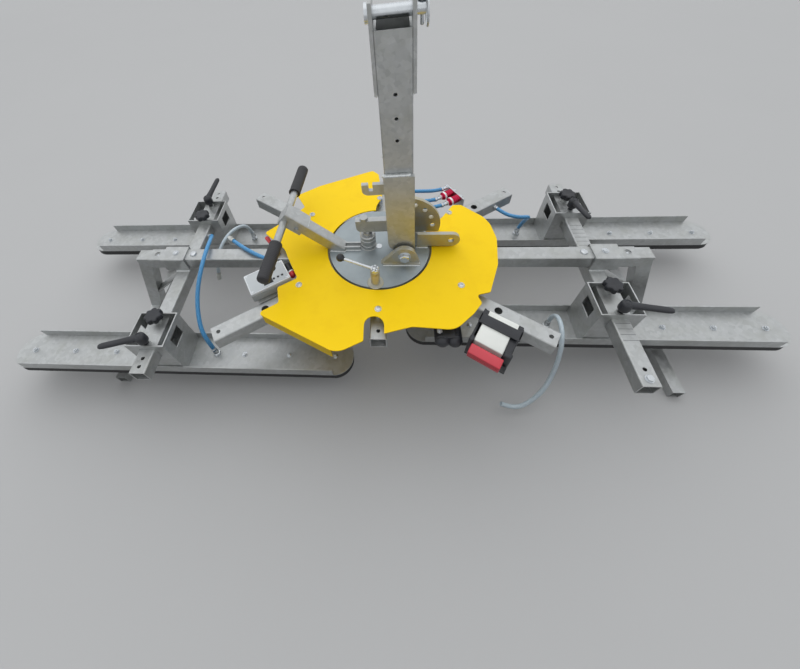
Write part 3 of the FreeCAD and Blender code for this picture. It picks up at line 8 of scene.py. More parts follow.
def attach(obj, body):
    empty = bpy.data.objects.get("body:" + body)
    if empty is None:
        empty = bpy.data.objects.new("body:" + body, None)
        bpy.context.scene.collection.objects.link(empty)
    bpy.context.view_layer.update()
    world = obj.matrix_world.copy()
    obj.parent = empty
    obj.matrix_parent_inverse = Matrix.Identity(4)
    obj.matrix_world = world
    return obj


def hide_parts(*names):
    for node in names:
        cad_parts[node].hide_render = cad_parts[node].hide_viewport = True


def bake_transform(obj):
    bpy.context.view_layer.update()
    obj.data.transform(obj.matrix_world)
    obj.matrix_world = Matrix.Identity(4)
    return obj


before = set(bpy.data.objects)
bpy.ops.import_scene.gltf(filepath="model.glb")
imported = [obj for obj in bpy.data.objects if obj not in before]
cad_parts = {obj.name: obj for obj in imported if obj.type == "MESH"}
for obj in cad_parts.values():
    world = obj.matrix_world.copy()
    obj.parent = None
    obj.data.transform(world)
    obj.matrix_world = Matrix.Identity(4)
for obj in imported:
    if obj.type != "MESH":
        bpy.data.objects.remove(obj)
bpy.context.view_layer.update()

# Vacuum panel lifter. Pieces are modelled in millimetres in the part's own frame and scaled to metres
# when they are finished: X along the main beam, Y away from the viewer, Z up from the floor.
MM = 0.001
UP = Vector((0, 0, 1))

# The frame's beam, cross tubes, arms and parking legs.
BEAM_TOP = 285.0
BEAM_END = 655.0
LEG_BOLT_INSET = 22.0
CROSS_X = 566.0
SLEEVE_LOW = 240.0
STOP_BOLT_Y = -305.0
ARM_ANGLE = 32.0
FOOT_X = 763.0
FOOT_SIZE = 30.0

# The pads: each corner's side of the middle and place along its cross tube, and the grips on its carrier.
PAD_X = 556.7
PAD_LEVEL = 116.0
PAD_STRAIGHT = 872.0
PAD_BOLT_PITCH = 124.5
BARB_INSET = 110.0
KNOB_SEAT = 253.3
STUD_RADIUS = 5.0
STUD_DEPTH = 12.0
CORNERS = {"front_left": (-1, -217.0), "front_right": (1, -120.5),
           "rear_left": (-1, 204.0), "rear_right": (1, 215.0)}
KNOB_AT = {"front_left": 28.0, "front_right": 28.0, "rear_left": -35.0, "rear_right": 20.0}
LEVER_AT = {"front_left": -35.0, "front_right": -33.0, "rear_left": 30.0, "rear_right": -24.0}
LEVER_TURN = {"front_left": 203.0, "front_right": -17.0, "rear_left": 80.0, "rear_right": -85.0}

# Cover, turntable, handle and mast. The handle's and the mast's own frames have X along the handle's arm
# and Z along the mast.
COVER_TOP = 314.0
COVER_SCREW_CIRCLE = 231.0
STUB_SCREW_Y = 188.0
DISC_TOP = 314.0
INDEX_CIRCLE = 115.0
INDEX_ANGLE = -93.5
INDEX_LEVER_AIM = 158.0
STOP_BARREL = (-28.0, 5.0, DISC_TOP)
HINGE = Vector((64.0, 0.0, 343.0))
MAST_LEAN = 2.5
HANDLE_TURN = 175.8
HANDLE_RISE = 41.8
HANDLE_LIFT = 10.4
MAST_PLACE = Matrix.Translation(HINGE) @ Matrix.Rotation(math.radians(-MAST_LEAN), 4, "Y")
HANDLE_FOOT = Matrix.Translation((-89, -18, 0)) @ Matrix.Rotation(math.radians(HANDLE_TURN), 4, "Z")
HANDLE_PLACE = (HANDLE_FOOT @ Matrix.Translation((0, 0, DISC_TOP + HANDLE_LIFT))
                @ Matrix.Rotation(math.radians(-HANDLE_RISE), 4, "Y"))

# Gear on the arms, and the hoses.
FILTER_FACE = 262.0
BRACKET_FACE = 304.0
FILTER_ROWS = (44.0, 74.0)
VALVE_X = -283.0
HOSE_RADIUS = 5.5


def swing(angle):
    """A turn about Z, in degrees."""
    return Matrix.Rotation(math.radians(angle), 4, "Z")


def around(radius, angle):
    """The point of a circle at an angle in degrees, as (x, y)."""
    return radius * math.cos(math.radians(angle)), radius * math.sin(math.radians(angle))


def along(base, aim=UP, turn=0.0):
    """A place at base whose own Z points along aim, turned about that axis."""
    lean = UP.rotation_difference(Vector(aim)).to_matrix().to_4x4()
    return Matrix.Translation(Vector(base)) @ lean @ swing(turn)


def linear(text):
    """An sRGB hex value as linear RGBA."""
    parts = [int(text[index:index + 2], 16) / 255 for index in (1, 3, 5)]
    tones = [part / 12.92 if part <= 0.04045 else ((part + 0.055) / 1.055) ** 2.4 for part in parts]
    return tones + [1.0]


def add(tree, kind, inputs=None, **settings):
    """A shader node with its settings, and each input given a value or a link."""
    item = tree.nodes.new("ShaderNode" + kind)
    for name, value in settings.items():
        setattr(item, name, value)
    for name, value in (inputs or {}).items():
        if isinstance(value, bpy.types.NodeSocket):
            tree.links.new(value, item.inputs[name])
        else:
            item.inputs[name].default_value = value
    return item


def surface(name, metallic=0.0, roughness=0.5, ior=1.5, coordinates="Object"):
    """A new material with its shader and the coordinates that its patterns read."""
    made = bpy.data.materials.new(name)
    made.use_nodes = True
    tree = made.node_tree
    shader = tree.nodes["Principled BSDF"]
    shader.inputs["Metallic"].default_value = metallic
    shader.inputs["Roughness"].default_value = roughness
    shader.inputs["IOR"].default_value = ior
    place = add(tree, "TexCoord").outputs[coordinates]
    return made, tree, shader, place


def per(size):
    """A pattern scale that repeats about every so many millimetres."""
    return 1.0 / (size * MM)


def metres(point):
    """A point in millimetres, in metres."""
    return [value * MM for value in point]


def galvanised_steel():
    # Hot-dip zinc on tube and plate: pale grey crystals about 9 mm across, faint dull clouds and a satin
    # gloss.
    made, tree, shader, place = surface("galvanised_steel", metallic=0.82)
    crystal = add(tree, "TexVoronoi", {"Vector": place, "Scale": per(9)})
    grey = add(tree, "RGBToBW", {"Color": crystal.outputs["Color"]})
    cloud = add(tree, "TexNoise", {"Vector": place, "Scale": per(55), "Detail": 6.0, "Roughness": 0.6})
    tone = add(tree, "Mix", {0: grey.outputs["Val"], 6: linear("#ADAFAF"), 7: linear("#C0C2C2")},
               data_type="RGBA")
    worn = add(tree, "MapRange", {"Value": cloud.outputs["Fac"], "From Min": 0.45, "From Max": 0.75,
                                  "To Min": 0.0, "To Max": 0.45})
    dull = add(tree, "Mix", {0: worn.outputs["Result"], 6: tone.outputs[2], 7: linear("#9C9D95")},
               data_type="RGBA")
    tree.links.new(dull.outputs[2], shader.inputs["Base Color"])
    gloss = add(tree, "MapRange", {"Value": grey.outputs["Val"], "To Min": 0.36, "To Max": 0.48})
    tree.links.new(gloss.outputs["Result"], shader.inputs["Roughness"])
    drag = add(tree, "TexNoise", {"Vector": place, "Scale": per(4), "Detail": 3.0})
    bump = add(tree, "Bump", {"Height": drag.outputs["Fac"], "Strength": 0.1, "Distance": 0.0005})
    tree.links.new(bump.outputs["Normal"], shader.inputs["Normal"])
    return made


def bright_zinc():
    # Electroplated zinc on bolts, pins and barrels: cool, fairly glossy, faintly blue where it is thick.
    made, tree, shader, place = surface("bright_zinc", metallic=1.0)
    film = add(tree, "TexNoise", {"Vector": place, "Scale": per(14), "Detail": 4.0})
    tone = add(tree, "Mix", {0: film.outputs["Fac"], 6: linear("#B9BEC3"), 7: linear("#DADDDF")},
               data_type="RGBA")
    tree.links.new(tone.outputs[2], shader.inputs["Base Color"])
    gloss = add(tree, "MapRange", {"Value": film.outputs["Fac"], "To Min": 0.2, "To Max": 0.36})
    tree.links.new(gloss.outputs["Result"], shader.inputs["Roughness"])
    return made


def faced_disc():
    # The turntable's faced plate: zinc over fine turning rings 1.6 mm apart, drawn coarser than the real
    # 0.3 mm feed so that they show, with dull clouds from handling.
    made, tree, shader, place = surface("faced_zinc_disc", metallic=0.85)
    # A wave texture of scale 1 has 20 / (2 pi) waves to the unit.
    feed = 2 * math.pi / 20 * per(1.6)
    rings = add(tree, "TexWave", {"Vector": place, "Scale": feed, "Distortion": 1.5, "Detail Scale": 0.4},
                wave_type="RINGS", rings_direction="Z")
    cloud = add(tree, "TexNoise", {"Vector": place, "Scale": per(40), "Detail": 6.0, "Roughness": 0.65})
    tone = add(tree, "Mix", {0: cloud.outputs["Fac"], 6: linear("#8B9498"), 7: linear("#ABB3B6")},
               data_type="RGBA")
    tree.links.new(tone.outputs[2], shader.inputs["Base Color"])
    gloss = add(tree, "MapRange", {"Value": cloud.outputs["Fac"], "To Min": 0.34, "To Max": 0.5})
    tree.links.new(gloss.outputs["Result"], shader.inputs["Roughness"])
    bump = add(tree, "Bump", {"Height": rings.outputs["Fac"], "Strength": 0.1, "Distance": 0.0002})
    tree.links.new(bump.outputs["Normal"], shader.inputs["Normal"])
    return made


def chromate_zinc():
    # Zinc with a thin yellowish chromate film: straw patches over grey, satin.
    made, tree, shader, place = surface("chromate_zinc", metallic=0.7)
    film = add(tree, "TexNoise", {"Vector": place, "Scale": per(22), "Detail": 4.0})
    patch = add(tree, "MapRange", {"Value": film.outputs["Fac"], "From Min": 0.35, "From Max": 0.65})
    tone = add(tree, "Mix", {0: patch.outputs["Result"], 6: linear("#B4B5B0"), 7: linear("#BAB295")},
               data_type="RGBA")
    tree.links.new(tone.outputs[2], shader.inputs["Base Color"])
    gloss = add(tree, "MapRange", {"Value": film.outputs["Fac"], "To Min": 0.4, "To Max": 0.55})
    tree.links.new(gloss.outputs["Result"], shader.inputs["Roughness"])
    return made


def yellow_powder_coat():
    # Powder-coated sheet: even yellow with a fine orange peel of about 2 mm, faint grime and rubbed
    # marks.
    made, tree, shader, place = surface("yellow_powder_coat", roughness=0.42)
    shader.inputs["Specular IOR Level"].default_value = 0.12
    grime = add(tree, "TexNoise", {"Vector": place, "Scale": per(60), "Detail": 6.0, "Roughness": 0.6})
    soft = add(tree, "MapRange", {"Value": grime.outputs["Fac"], "From Min": 0.5, "From Max": 0.8,
                                  "To Min": 0.0, "To Max": 0.55})
    tone = add(tree, "Mix", {0: soft.outputs["Result"], 6: linear("#F3CB08"), 7: linear("#E6B908")},
               data_type="RGBA")
    stretch = add(tree, "Mapping", {"Vector": place, "Rotation": (0.0, 0.0, 0.5),
                                    "Scale": (1.0, 9.0, 1.0)})
    rub = add(tree, "TexNoise", {"Vector": stretch.outputs["Vector"], "Scale": per(70), "Detail": 8.0,
                                 "Roughness": 0.75})
    mark = add(tree, "MapRange", {"Value": rub.outputs["Fac"], "From Min": 0.68, "From Max": 0.78,
                                  "To Min": 0.0, "To Max": 0.35})
    marked = add(tree, "Mix", {0: mark.outputs["Result"], 6: tone.outputs[2], 7: linear("#B98F14")},
                 data_type="RGBA")
    tree.links.new(marked.outputs[2], shader.inputs["Base Color"])
    gloss = add(tree, "MapRange", {"Value": grime.outputs["Fac"], "To Min": 0.34, "To Max": 0.52})
    tree.links.new(gloss.outputs["Result"], shader.inputs["Roughness"])
    peel = add(tree, "TexNoise", {"Vector": place, "Scale": per(2.2), "Detail": 1.0})
    bump = add(tree, "Bump", {"Height": peel.outputs["Fac"], "Strength": 0.08, "Distance": 0.0003})
    tree.links.new(bump.outputs["Normal"], shader.inputs["Normal"])
    return made


def moulded(name, base, pale, roughness, grain, ior=1.5):
    """A moulded plastic or rubber: two near tones, a fine grain and slightly uneven gloss."""
    made, tree, shader, place = surface(name, roughness=roughness, ior=ior)
    cloud = add(tree, "TexNoise", {"Vector": place, "Scale": per(25), "Detail": 4.0})
    tone = add(tree, "Mix", {0: cloud.outputs["Fac"], 6: linear(base), 7: linear(pale)},
               data_type="RGBA")
    tree.links.new(tone.outputs[2], shader.inputs["Base Color"])
    gloss = add(tree, "MapRange", {"Value": cloud.outputs["Fac"], "To Min": roughness - 0.07,
                                   "To Max": roughness + 0.1})
    tree.links.new(gloss.outputs["Result"], shader.inputs["Roughness"])
    spark = add(tree, "TexNoise", {"Vector": place, "Scale": per(grain), "Detail": 2.0})
    bump = add(tree, "Bump", {"Height": spark.outputs["Fac"], "Strength": 0.2, "Distance": 0.0003})
    tree.links.new(bump.outputs["Normal"], shader.inputs["Normal"])
    return made


def anodised(name, base, pale):
    # Dyed anodised aluminium: coloured metal with a faint random tone and a satin gloss.
    made, tree, shader, place = surface(name, metallic=1.0)
    film = add(tree, "TexNoise", {"Vector": place, "Scale": per(9), "Detail": 3.0})
    tone = add(tree, "Mix", {0: film.outputs["Fac"], 6: linear(base), 7: linear(pale)}, data_type="RGBA")
    tree.links.new(tone.outputs[2], shader.inputs["Base Color"])
    gloss = add(tree, "MapRange", {"Value": film.outputs["Fac"], "To Min": 0.22, "To Max": 0.38})
    tree.links.new(gloss.outputs["Result"], shader.inputs["Roughness"])
    return made


def braided_hose(name, wall, thread, transmission=0.0):
    # Reinforced PVC hose: a smooth satin wall with crossed threads showing through. The hose's own UV map
    # carries them round and along it, and they are drawn 10 to 25 mm apart, coarser than the real 4 mm, so
    # that they show.
    made, tree, shader, lie = surface(name, roughness=0.3, ior=1.53, coordinates="UV")
    threads = []
    for lean in (0.62, -0.62):
        slant = add(tree, "Mapping", {"Vector": lie, "Rotation": (0.0, 0.0, lean),
                                      "Scale": (3.2, 0.6, 1.0)})
        threads.append(add(tree, "TexWave", {"Vector": slant.outputs["Vector"], "Scale": 2.2},
                           bands_direction="X"))
    both = add(tree, "Math", {0: threads[0].outputs["Fac"], 1: threads[1].outputs["Fac"]},
               operation="MAXIMUM")
    shown = add(tree, "MapRange", {"Value": both.outputs["Value"], "From Min": 0.86, "From Max": 1.0,
                                   "To Min": 0.0, "To Max": 0.5})
    tone = add(tree, "Mix", {0: shown.outputs["Result"], 6: linear(wall), 7: linear(thread)},
               data_type="RGBA")
    tree.links.new(tone.outputs[2], shader.inputs["Base Color"])
    shader.inputs["Transmission Weight"].default_value = transmission
    return made


def weld_metal():
    # Weld bead under zinc: bright, lumpy, a little rougher than the plate.
    made, tree, shader, place = surface("zinc_weld_bead", metallic=0.95, roughness=0.38)
    film = add(tree, "TexNoise", {"Vector": place, "Scale": per(5), "Detail": 3.0})
    tone = add(tree, "Mix", {0: film.outputs["Fac"], 6: linear("#B5B8B8"), 7: linear("#DFE2E2")},
               data_type="RGBA")
    tree.links.new(tone.outputs[2], shader.inputs["Base Color"])
    return made


GALVANISED = galvanised_steel()
ZINC = bright_zinc()
DISC = faced_disc()
CHROMATE = chromate_zinc()
YELLOW = yellow_powder_coat()
WELD = weld_metal()
RUBBER = moulded("black_nitrile_rubber", "#1B1B1C", "#2A2A2B", 0.62, 1.4)
GRAPHITE = moulded("graphite_pencil_line", "#4C4D4E", "#626364", 0.6, 1.0)
GRIP_RUBBER = moulded("black_grip_rubber", "#232326", "#37373A", 0.58, 1.0)
NYLON = moulded("black_glass_filled_nylon", "#1F2023", "#303238", 0.42, 0.9)
WHITE_ABS = moulded("white_abs_lid", "#DCE0E3", "#EAEDEF", 0.36, 0.8)
GREY_ABS = moulded("grey_abs_box", "#AFB4B7", "#BFC4C6", 0.42, 0.8)
BATTERY_GREY = moulded("pale_battery_case", "#D3D5D0", "#DFE0DB", 0.45, 0.9)
RED_ABS = moulded("red_abs_housing", "#BE2C3B", "#CC3D4B", 0.34, 0.9)
RED_VINYL = moulded("red_dipped_vinyl", "#B3202B", "#C22E36", 0.32, 1.2)
RED_ANODISED = anodised("red_anodised_aluminium", "#B01D3E", "#CF3B58")
BRASS = anodised("turned_brass", "#A98A4A", "#C6A862")
COUPLING = anodised("nickel_plated_brass", "#B8B9B4", "#D2D3CF")
BLUE_HOSE = braided_hose("blue_braided_pvc", "#3C85B9", "#5FA3D0")
CLEAR_HOSE = braided_hose("clear_braided_pvc", "#C2D0D8", "#D6E0E5", 0.25)


def join(whole, part, place=None, finish=0):
    """Add a shape to a piece, set in its place and given one of the piece's materials."""
    bmesh.ops.remove_doubles(part, verts=part.verts, dist=0.005)
    bmesh.ops.recalc_face_normals(part, faces=part.faces)
    if place is not None:
        bmesh.ops.transform(part, matrix=place, verts=part.verts)
    for face in part.faces:
        face.material_index = finish
    holder = bpy.data.meshes.new("holder")
    part.to_mesh(holder)
    part.free()
    whole.from_mesh(holder)
    bpy.data.meshes.remove(holder)


def piece(name, whole, finishes, body, stands_for=(), crease=32):
    """Finish a shape as an object in metres that rides on a body."""
    bmesh.ops.scale(whole, vec=(MM, MM, MM), verts=whole.verts)
    mesh = bpy.data.meshes.new(name)
    whole.to_mesh(mesh)
    whole.free()
    mesh.shade_smooth()
    mesh.set_sharp_from_angle(angle=math.radians(crease))
    for finish in finishes:
        mesh.materials.append(finish)
    obj = bpy.data.objects.new(name, mesh)
    bpy.context.scene.collection.objects.link(obj)
    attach(obj, body)
    if stands_for:
        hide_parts(*stands_for)
    return obj


def turned(profile, steps=32):
    """A lathe-turned shape from (radius, height) pairs, about Z."""
    part = bmesh.new()
    line = [part.verts.new((radius, 0, height)) for radius, height in profile]
    edges = [part.edges.new(pair) for pair in zip(line, line[1:])]
    bmesh.ops.spin(part, geom=line + edges, cent=(0, 0, 0), axis=(0, 0, 1), angle=2 * math.pi,
                   steps=steps, use_merge=True)
    return part


def block(size, low, soft=0.8, segments=2):
    """A block from its low corner with all edges rounded."""
    part = bmesh.new()
    bmesh.ops.create_cube(part, size=1.0)
    bmesh.ops.scale(part, vec=size, verts=part.verts)
    middle = [corner + length / 2 for corner, length in zip(low, size)]
    bmesh.ops.translate(part, vec=middle, verts=part.verts)
    bmesh.ops.bevel(part, geom=part.edges[:], offset=soft, offset_type="OFFSET", segments=segments,
                    profile=0.5, affect="EDGES", material=-1)
    return part


def pin(radius, low, high, steps=20):
    """A plain round pin from one height to another."""
    return turned([(0, low), (radius, low), (radius, high), (0, high)], steps)


def lofted(sections, count, shape):
    """A closed skin over rings of points, and the faces of its last end.

    Shape gives the place of a point of the unit circle in a section.
    """
    part = bmesh.new()
    rings = []
    for section in sections:
        ring = bmesh.ops.create_circle(part, cap_ends=False, segments=count, radius=1.0)["verts"]
        for vert in ring:
            vert.co = shape(vert.co.copy(), *section)
        rings.append([edge for edge in part.edges if all(vert in ring for vert in edge.verts)])
    for first, last in zip(rings, rings[1:]):
        bmesh.ops.bridge_loops(part, edges=first + last)
    bmesh.ops.edgeloop_fill(part, edges=rings[0])
    end = bmesh.ops.edgeloop_fill(part, edges=rings[-1])["faces"]
    return part, end


def hexagon(across, tall, chamfer=0.8):
    """A hexagon bar of that width across flats, standing on Z = 0, its top corners chamfered."""
    part = bmesh.new()
    corner = across / math.sqrt(3)
    bmesh.ops.create_cone(part, cap_ends=True, segments=6, radius1=corner, radius2=corner, depth=tall)
    bmesh.ops.translate(part, vec=(0, 0, tall / 2), verts=part.verts)
    rim = [edge for edge in part.edges if all(vert.co.z > tall / 2 for vert in edge.verts)]
    bmesh.ops.bevel(part, geom=rim, offset=chamfer, offset_type="OFFSET", segments=2, profile=0.5,
                    affect="EDGES", material=-1)
    return part


def disc_ring(outer, inner, tall, soft=0.4):
    """A flat washer with softened outer edges."""
    rim = outer - soft
    return turned([(inner, 0), (rim, 0), (outer, soft), (outer, tall - soft), (rim, tall), (inner, tall),
                   (inner, 0)], 32)


def outline_plate(corners, low, tall, soft=0.6):
    """A flat plate cut to an outline, its rim softened."""
    part = bmesh.new()
    face = part.faces.new([part.verts.new((x, y, low)) for x, y in corners])
    grown = bmesh.ops.extrude_face_region(part, geom=[face])
    raised = [item for item in grown["geom"] if isinstance(item, bmesh.types.BMVert)]
    bmesh.ops.translate(part, vec=(0, 0, tall), verts=raised)
    rims = [edge for edge in part.edges if abs(edge.verts[0].co.z - edge.verts[1].co.z) < 1e-6]
    bmesh.ops.bevel(part, geom=rims, offset=soft, offset_type="OFFSET", segments=2, profile=0.5,
                    affect="EDGES", material=-1)
    return part


def round_line(name, points, radius, sides, steps):
    """A line along points, one NURBS spline with a round section."""
    line = bpy.data.curves.new(name, "CURVE")
    line.dimensions = "3D"
    line.bevel_depth = radius
    line.bevel_resolution = sides
    line.resolution_u = steps
    line.use_fill_caps = True
    run = line.splines.new("NURBS")
    run.points.add(len(points) - 1)
    for spot, place in zip(run.points, points):
        spot.co = (*place, 1.0)
    run.order_u = 3
    run.use_endpoint_u = True
    obj = bpy.data.objects.new(name, line)
    bpy.context.scene.collection.objects.link(obj)
    return obj


def as_mesh(obj):
    """The mesh that Blender makes of a line as it stands."""
    bpy.context.view_layer.update()
    return bpy.data.meshes.new_from_object(obj.evaluated_get(bpy.context.evaluated_depsgraph_get()))


def wire(points, radius):
    """A round bar bent along points."""
    line = round_line("wire", points, radius, 3, 6)
    mesh = as_mesh(line)
    part = bmesh.new()
    part.from_mesh(mesh)
    curve = line.data
    bpy.data.objects.remove(line)
    bpy.data.curves.remove(curve)
    bpy.data.meshes.remove(mesh)
    return part


def bead(whole, start, end, width, place=Matrix.Identity(4)):
    """A weld bead: overlapping flattened drops from start to end."""
    start = Vector(start)
    end = Vector(end)
    pitch = 0.42 * width
    count = max(2, round((end - start).length / pitch))
    for step in range(count + 1):
        drop = bmesh.new()
        bmesh.ops.create_uvsphere(drop, u_segments=8, v_segments=5, radius=width / 2)
        size = 1.0 + 0.1 * math.sin(step * 2.4)
        spot = Matrix.Translation(start.lerp(end, step / count))
        join(whole, drop, place @ spot @ Matrix.Diagonal((size, size, 0.8 * size, 1.0)))


def bead_ring(whole, centre, radius, width):
    """A weld bead right round a barrel."""
    for turn in range(0, 360, 15):
        ends = [Vector(centre) + Vector((*around(radius, angle), 0)) for angle in (turn, turn + 15)]
        bead(whole, *ends, width)


def dress(finish, *names):
    """Give CAD nodes that stay as they are their finish."""
    for name in names:
        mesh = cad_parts[name].data
        mesh.materials.clear()
        mesh.materials.append(finish)


def hex_bolt(whole, base, aim, across, tall, turn=0.0):
    """A hexagon head on its washer."""
    washer = 1.4
    join(whole, disc_ring(across * 0.72, 1.0, washer), along(base, aim))
    join(whole, hexagon(across, tall), along(Vector(base) + washer * Vector(aim), aim, turn))


def fasteners():
    """Cover screws on their posts, the beam's bolts, the stop bolt and the pencilled setting marks."""
    whole = bmesh.new()
    spots = [around(COVER_SCREW_CIRCLE, turn)
             for turn in (ARM_ANGLE, 180 - ARM_ANGLE, 180 + ARM_ANGLE, -ARM_ANGLE)]
    spots += [(0, -STUB_SCREW_Y), (0, STUB_SCREW_Y)]
    for x, y in spots:
        join(whole, pin(8, 0, 26, 24), along((x, y, BEAM_TOP)))
        screw = turned([(0, 0), (8, 0), (8, 0.9), (6.9, 1.3), (6.5, 2.4), (5.2, 3.7), (3.0, 4.2),
                        (2.7, 3.9), (2.5, 2.0), (0, 2.0)], 24)
        join(whole, screw, along((x, y, COVER_TOP)))
    for side in (-1, 1):
        leg_bolt = side * (BEAM_END - LEG_BOLT_INSET)
        shank = turned([(0, 0), (4, 0), (4, 38), (3.2, 38.8), (0, 39)], 20)
        join(whole, shank, along((leg_bolt, 0, BEAM_TOP - 42)))
        hex_bolt(whole, (leg_bolt, 0, BEAM_TOP - 40), -UP, 12, 3.6, 20)
        hex_bolt(whole, (side * (CROSS_X + 10), 0, BEAM_TOP + 5), UP, 12, 2.6, 25)
        dome = turned([(0, 0), (9.2, 0), (9.2, 1.6), (8, 3.6), (5, 5.0), (0, 5.4)], 28)
        join(whole, dome, along((side * (CROSS_X - 40), 0, BEAM_TOP)))
    piece("bolts_and_cover_screws", whole, [ZINC], "frame", ["frame_fasteners"])

    whole = bmesh.new()
    hex_bolt(whole, (CROSS_X, STOP_BOLT_Y, SLEEVE_LOW), UP, 13, 5, 10)
    piece("tube_stop_bolt", whole, [ZINC], "frame")

    # The marks lie across the top of the right-hand cross tube, behind the beam and in front of it.
    whole = bmesh.new()
    for y in (*range(60, 136, 15), *range(-178, -221, -14)):
        join(whole, block((33, 1.0, 0.12), (CROSS_X - 16, y, SLEEVE_LOW - 0.02), 0.03, 1))
    piece("setting_marks", whole, [GRAPHITE], "frame")


def pad_pieces(corner):
    """A pad's bolts and hose barb, its sealing lip and the welds of its carrier."""
    side, y = CORNERS[corner]
    body = "pad_" + corner
    x = side * PAD_X
    half = PAD_STRAIGHT / 2
    whole = bmesh.new()
    for end in (-1, 1):
        for step in range(3):
            bolt_x = x + end * (half - step * PAD_BOLT_PITCH)
            spot = along((bolt_x, y, PAD_LEVEL))
            join(whole, disc_ring(7.5, 1.0, 1.2), spot)
            join(whole, hexagon(10, 5), along((bolt_x, y, PAD_LEVEL + 1.2), UP, 17 * step))
            join(whole, turned([(0, 0), (2.9, 0), (2.9, 8.4), (2.3, 9), (0, 9)], 16), spot)
    barb = (x - side * BARB_INSET, y, PAD_LEVEL)
    join(whole, hexagon(17.5, 8, 1.2), along(barb, UP, 12))
    join(whole, turned([(0, 8), (8.6, 8), (8.6, 9.4), (6.4, 10), (6.4, 12), (7, 13), (5.4, 16), (7, 17),
                        (5.4, 20), (7, 21), (5.4, 24.6), (0, 24.6)], 28), along(barb))
    piece("pad_bolts_and_barb_" + corner, whole, [ZINC], body, ["pad_fittings_" + corner])

    def oval(unit, radius, height):
        return unit.x * radius + (half if unit.x > 0 else -half), unit.y * radius, height

    profile = [(48.6, 113), (49.4, 111), (49.4, 106), (47.6, 104.6), (47.4, 101), (49.6, 96.6), (50, 94.2),
               (49, 92.3), (47, 92), (39, 92), (36.4, 93.2), (34, 95.5)]
    lip, _ = lofted(profile, 56, oval)
    whole = bmesh.new()
    join(whole, lip, Matrix.Translation((x, y, 0)))
    piece("sealing_lip_" + corner, whole, [RUBBER], body, ["pad_seal_" + corner])

    welds = bmesh.new()
    for edge in (-1, 1):
        for run in (-1, 1):
            bead(welds, (side * CROSS_X + run * 46, y + edge * 46, PAD_LEVEL),
                 (side * CROSS_X + run * 20, y + edge * 46, PAD_LEVEL), 4.5)
    piece("carrier_welds_" + corner, welds, [WELD], body)


def star_knob(corner):
    """A lobed knob with a sunk top, on its hub and stud."""
    side, y = CORNERS[corner]
    spot = Matrix.Translation((side * CROSS_X, y + KNOB_AT[corner], KNOB_SEAT))
    lobes = 7
    widest = 22.0
    notch_depth = 0.19

    def lobed(unit, radius, height):
        notch = 0.5 - 0.5 * math.cos(lobes * math.atan2(unit.y, unit.x))
        reach = radius * (1.0 - notch_depth * notch ** 1.5 * radius / widest)
        return unit.x * reach, unit.y * reach, height

    profile = [(13.0, 9.0), (20.4, 9.6), (21.7, 11.0), (22, 13), (22, 21), (21.4, 23.6), (19.4, 25.4),
               (16, 26)]
    grip, top = lofted(profile, 84, lobed)
    bmesh.ops.inset_region(grip, faces=top, thickness=4.0, depth=-0.9)
    whole = bmesh.new()
    join(whole, grip, spot)
    join(whole, turned([(0, -0.2), (6.5, -0.2), (6.5, 4), (8.5, 7), (11, 9.2), (0, 9.2)], 24), spot)
    join(whole, pin(STUD_RADIUS, -STUD_DEPTH, 0), spot, 1)
    piece("star_knob_grip_" + corner, whole, [NYLON, ZINC], "star_knob_" + corner,
          ["star_knob_" + corner])


def clamp_lever(corner):
    """A clamp lever: hub, cap and rising handle, on its stud."""
    side, y = CORNERS[corner]
    spot = Matrix.Translation((side * CROSS_X, y + LEVER_AT[corner], KNOB_SEAT))
    whole = bmesh.new()
    join(whole, turned([(0, -0.2), (6.5, -0.2), (6.5, 7.6), (9.4, 9.0), (12.2, 11.6), (13, 16), (12.8, 30),
                        (11.4, 35.6), (8.6, 38.4), (7.2, 38.8), (6.8, 37.8), (0, 37.8)], 32), spot)
    join(whole, turned([(0, 37.4), (5.0, 37.4), (5.0, 38.2), (4.2, 38.7), (0, 38.7)], 20), spot)
    join(whole, pin(STUD_RADIUS, -STUD_DEPTH, 0), spot, 1)

    def soft_square(unit, reach, tall, wide):
        square = max(abs(unit.x), abs(unit.y)) ** 0.35
        return reach, unit.x * wide / square, unit.y * tall / square

    sections = [(2, 8.6, 8.6), (14, 8.0, 8.4), (26, 7.0, 7.6), (44, 6.4, 7.2), (62, 6.2, 7.4),
                (76, 6.0, 7.2), (83, 5.0, 6.2), (86, 3.0, 4.0)]
    handle, _ = lofted(sections, 20, soft_square)
    rise = math.atan2(16, 80)
    lift = Matrix.Translation((0, 0, 29)) @ swing(LEVER_TURN[corner]) @ Matrix.Rotation(-rise, 4, "Y")
    join(whole, handle, spot @ lift)
    piece("clamp_handle_" + corner, whole, [NYLON, ZINC], "clamp_lever_" + corner,
          ["clamp_lever_" + corner], 40)


def handle_pieces():
    """The push handle's two ribbed grips, on the ends of its cross bar."""
    bar_reach = 168.0
    bar_drop = -29.0
    rib_pitch = 4.3
    profile = [(9.8, 0), (15.2, 0), (15.5, 0.8), (15.5, 4.6), (14.8, 5.6)]
    for rib in range(21):
        low = 7 + rib * rib_pitch
        profile += [(14.6, low), (15, low + 0.8), (15, low + 2.6), (14.6, low + 3.4)]
    profile += [(15, 98.6), (14.6, 101.6), (13, 104), (10, 105), (0, 105)]
    whole = bmesh.new()
    for start, aim in ((69.5, 1), (-110.5, -1)):
        grip = turned(profile, 36)
        join(whole, grip, HANDLE_PLACE @ along((bar_reach, start, bar_drop), (0, aim, 0)))
    piece("ribbed_grips", whole, [GRIP_RUBBER], "turntable", ["handle_grips"])


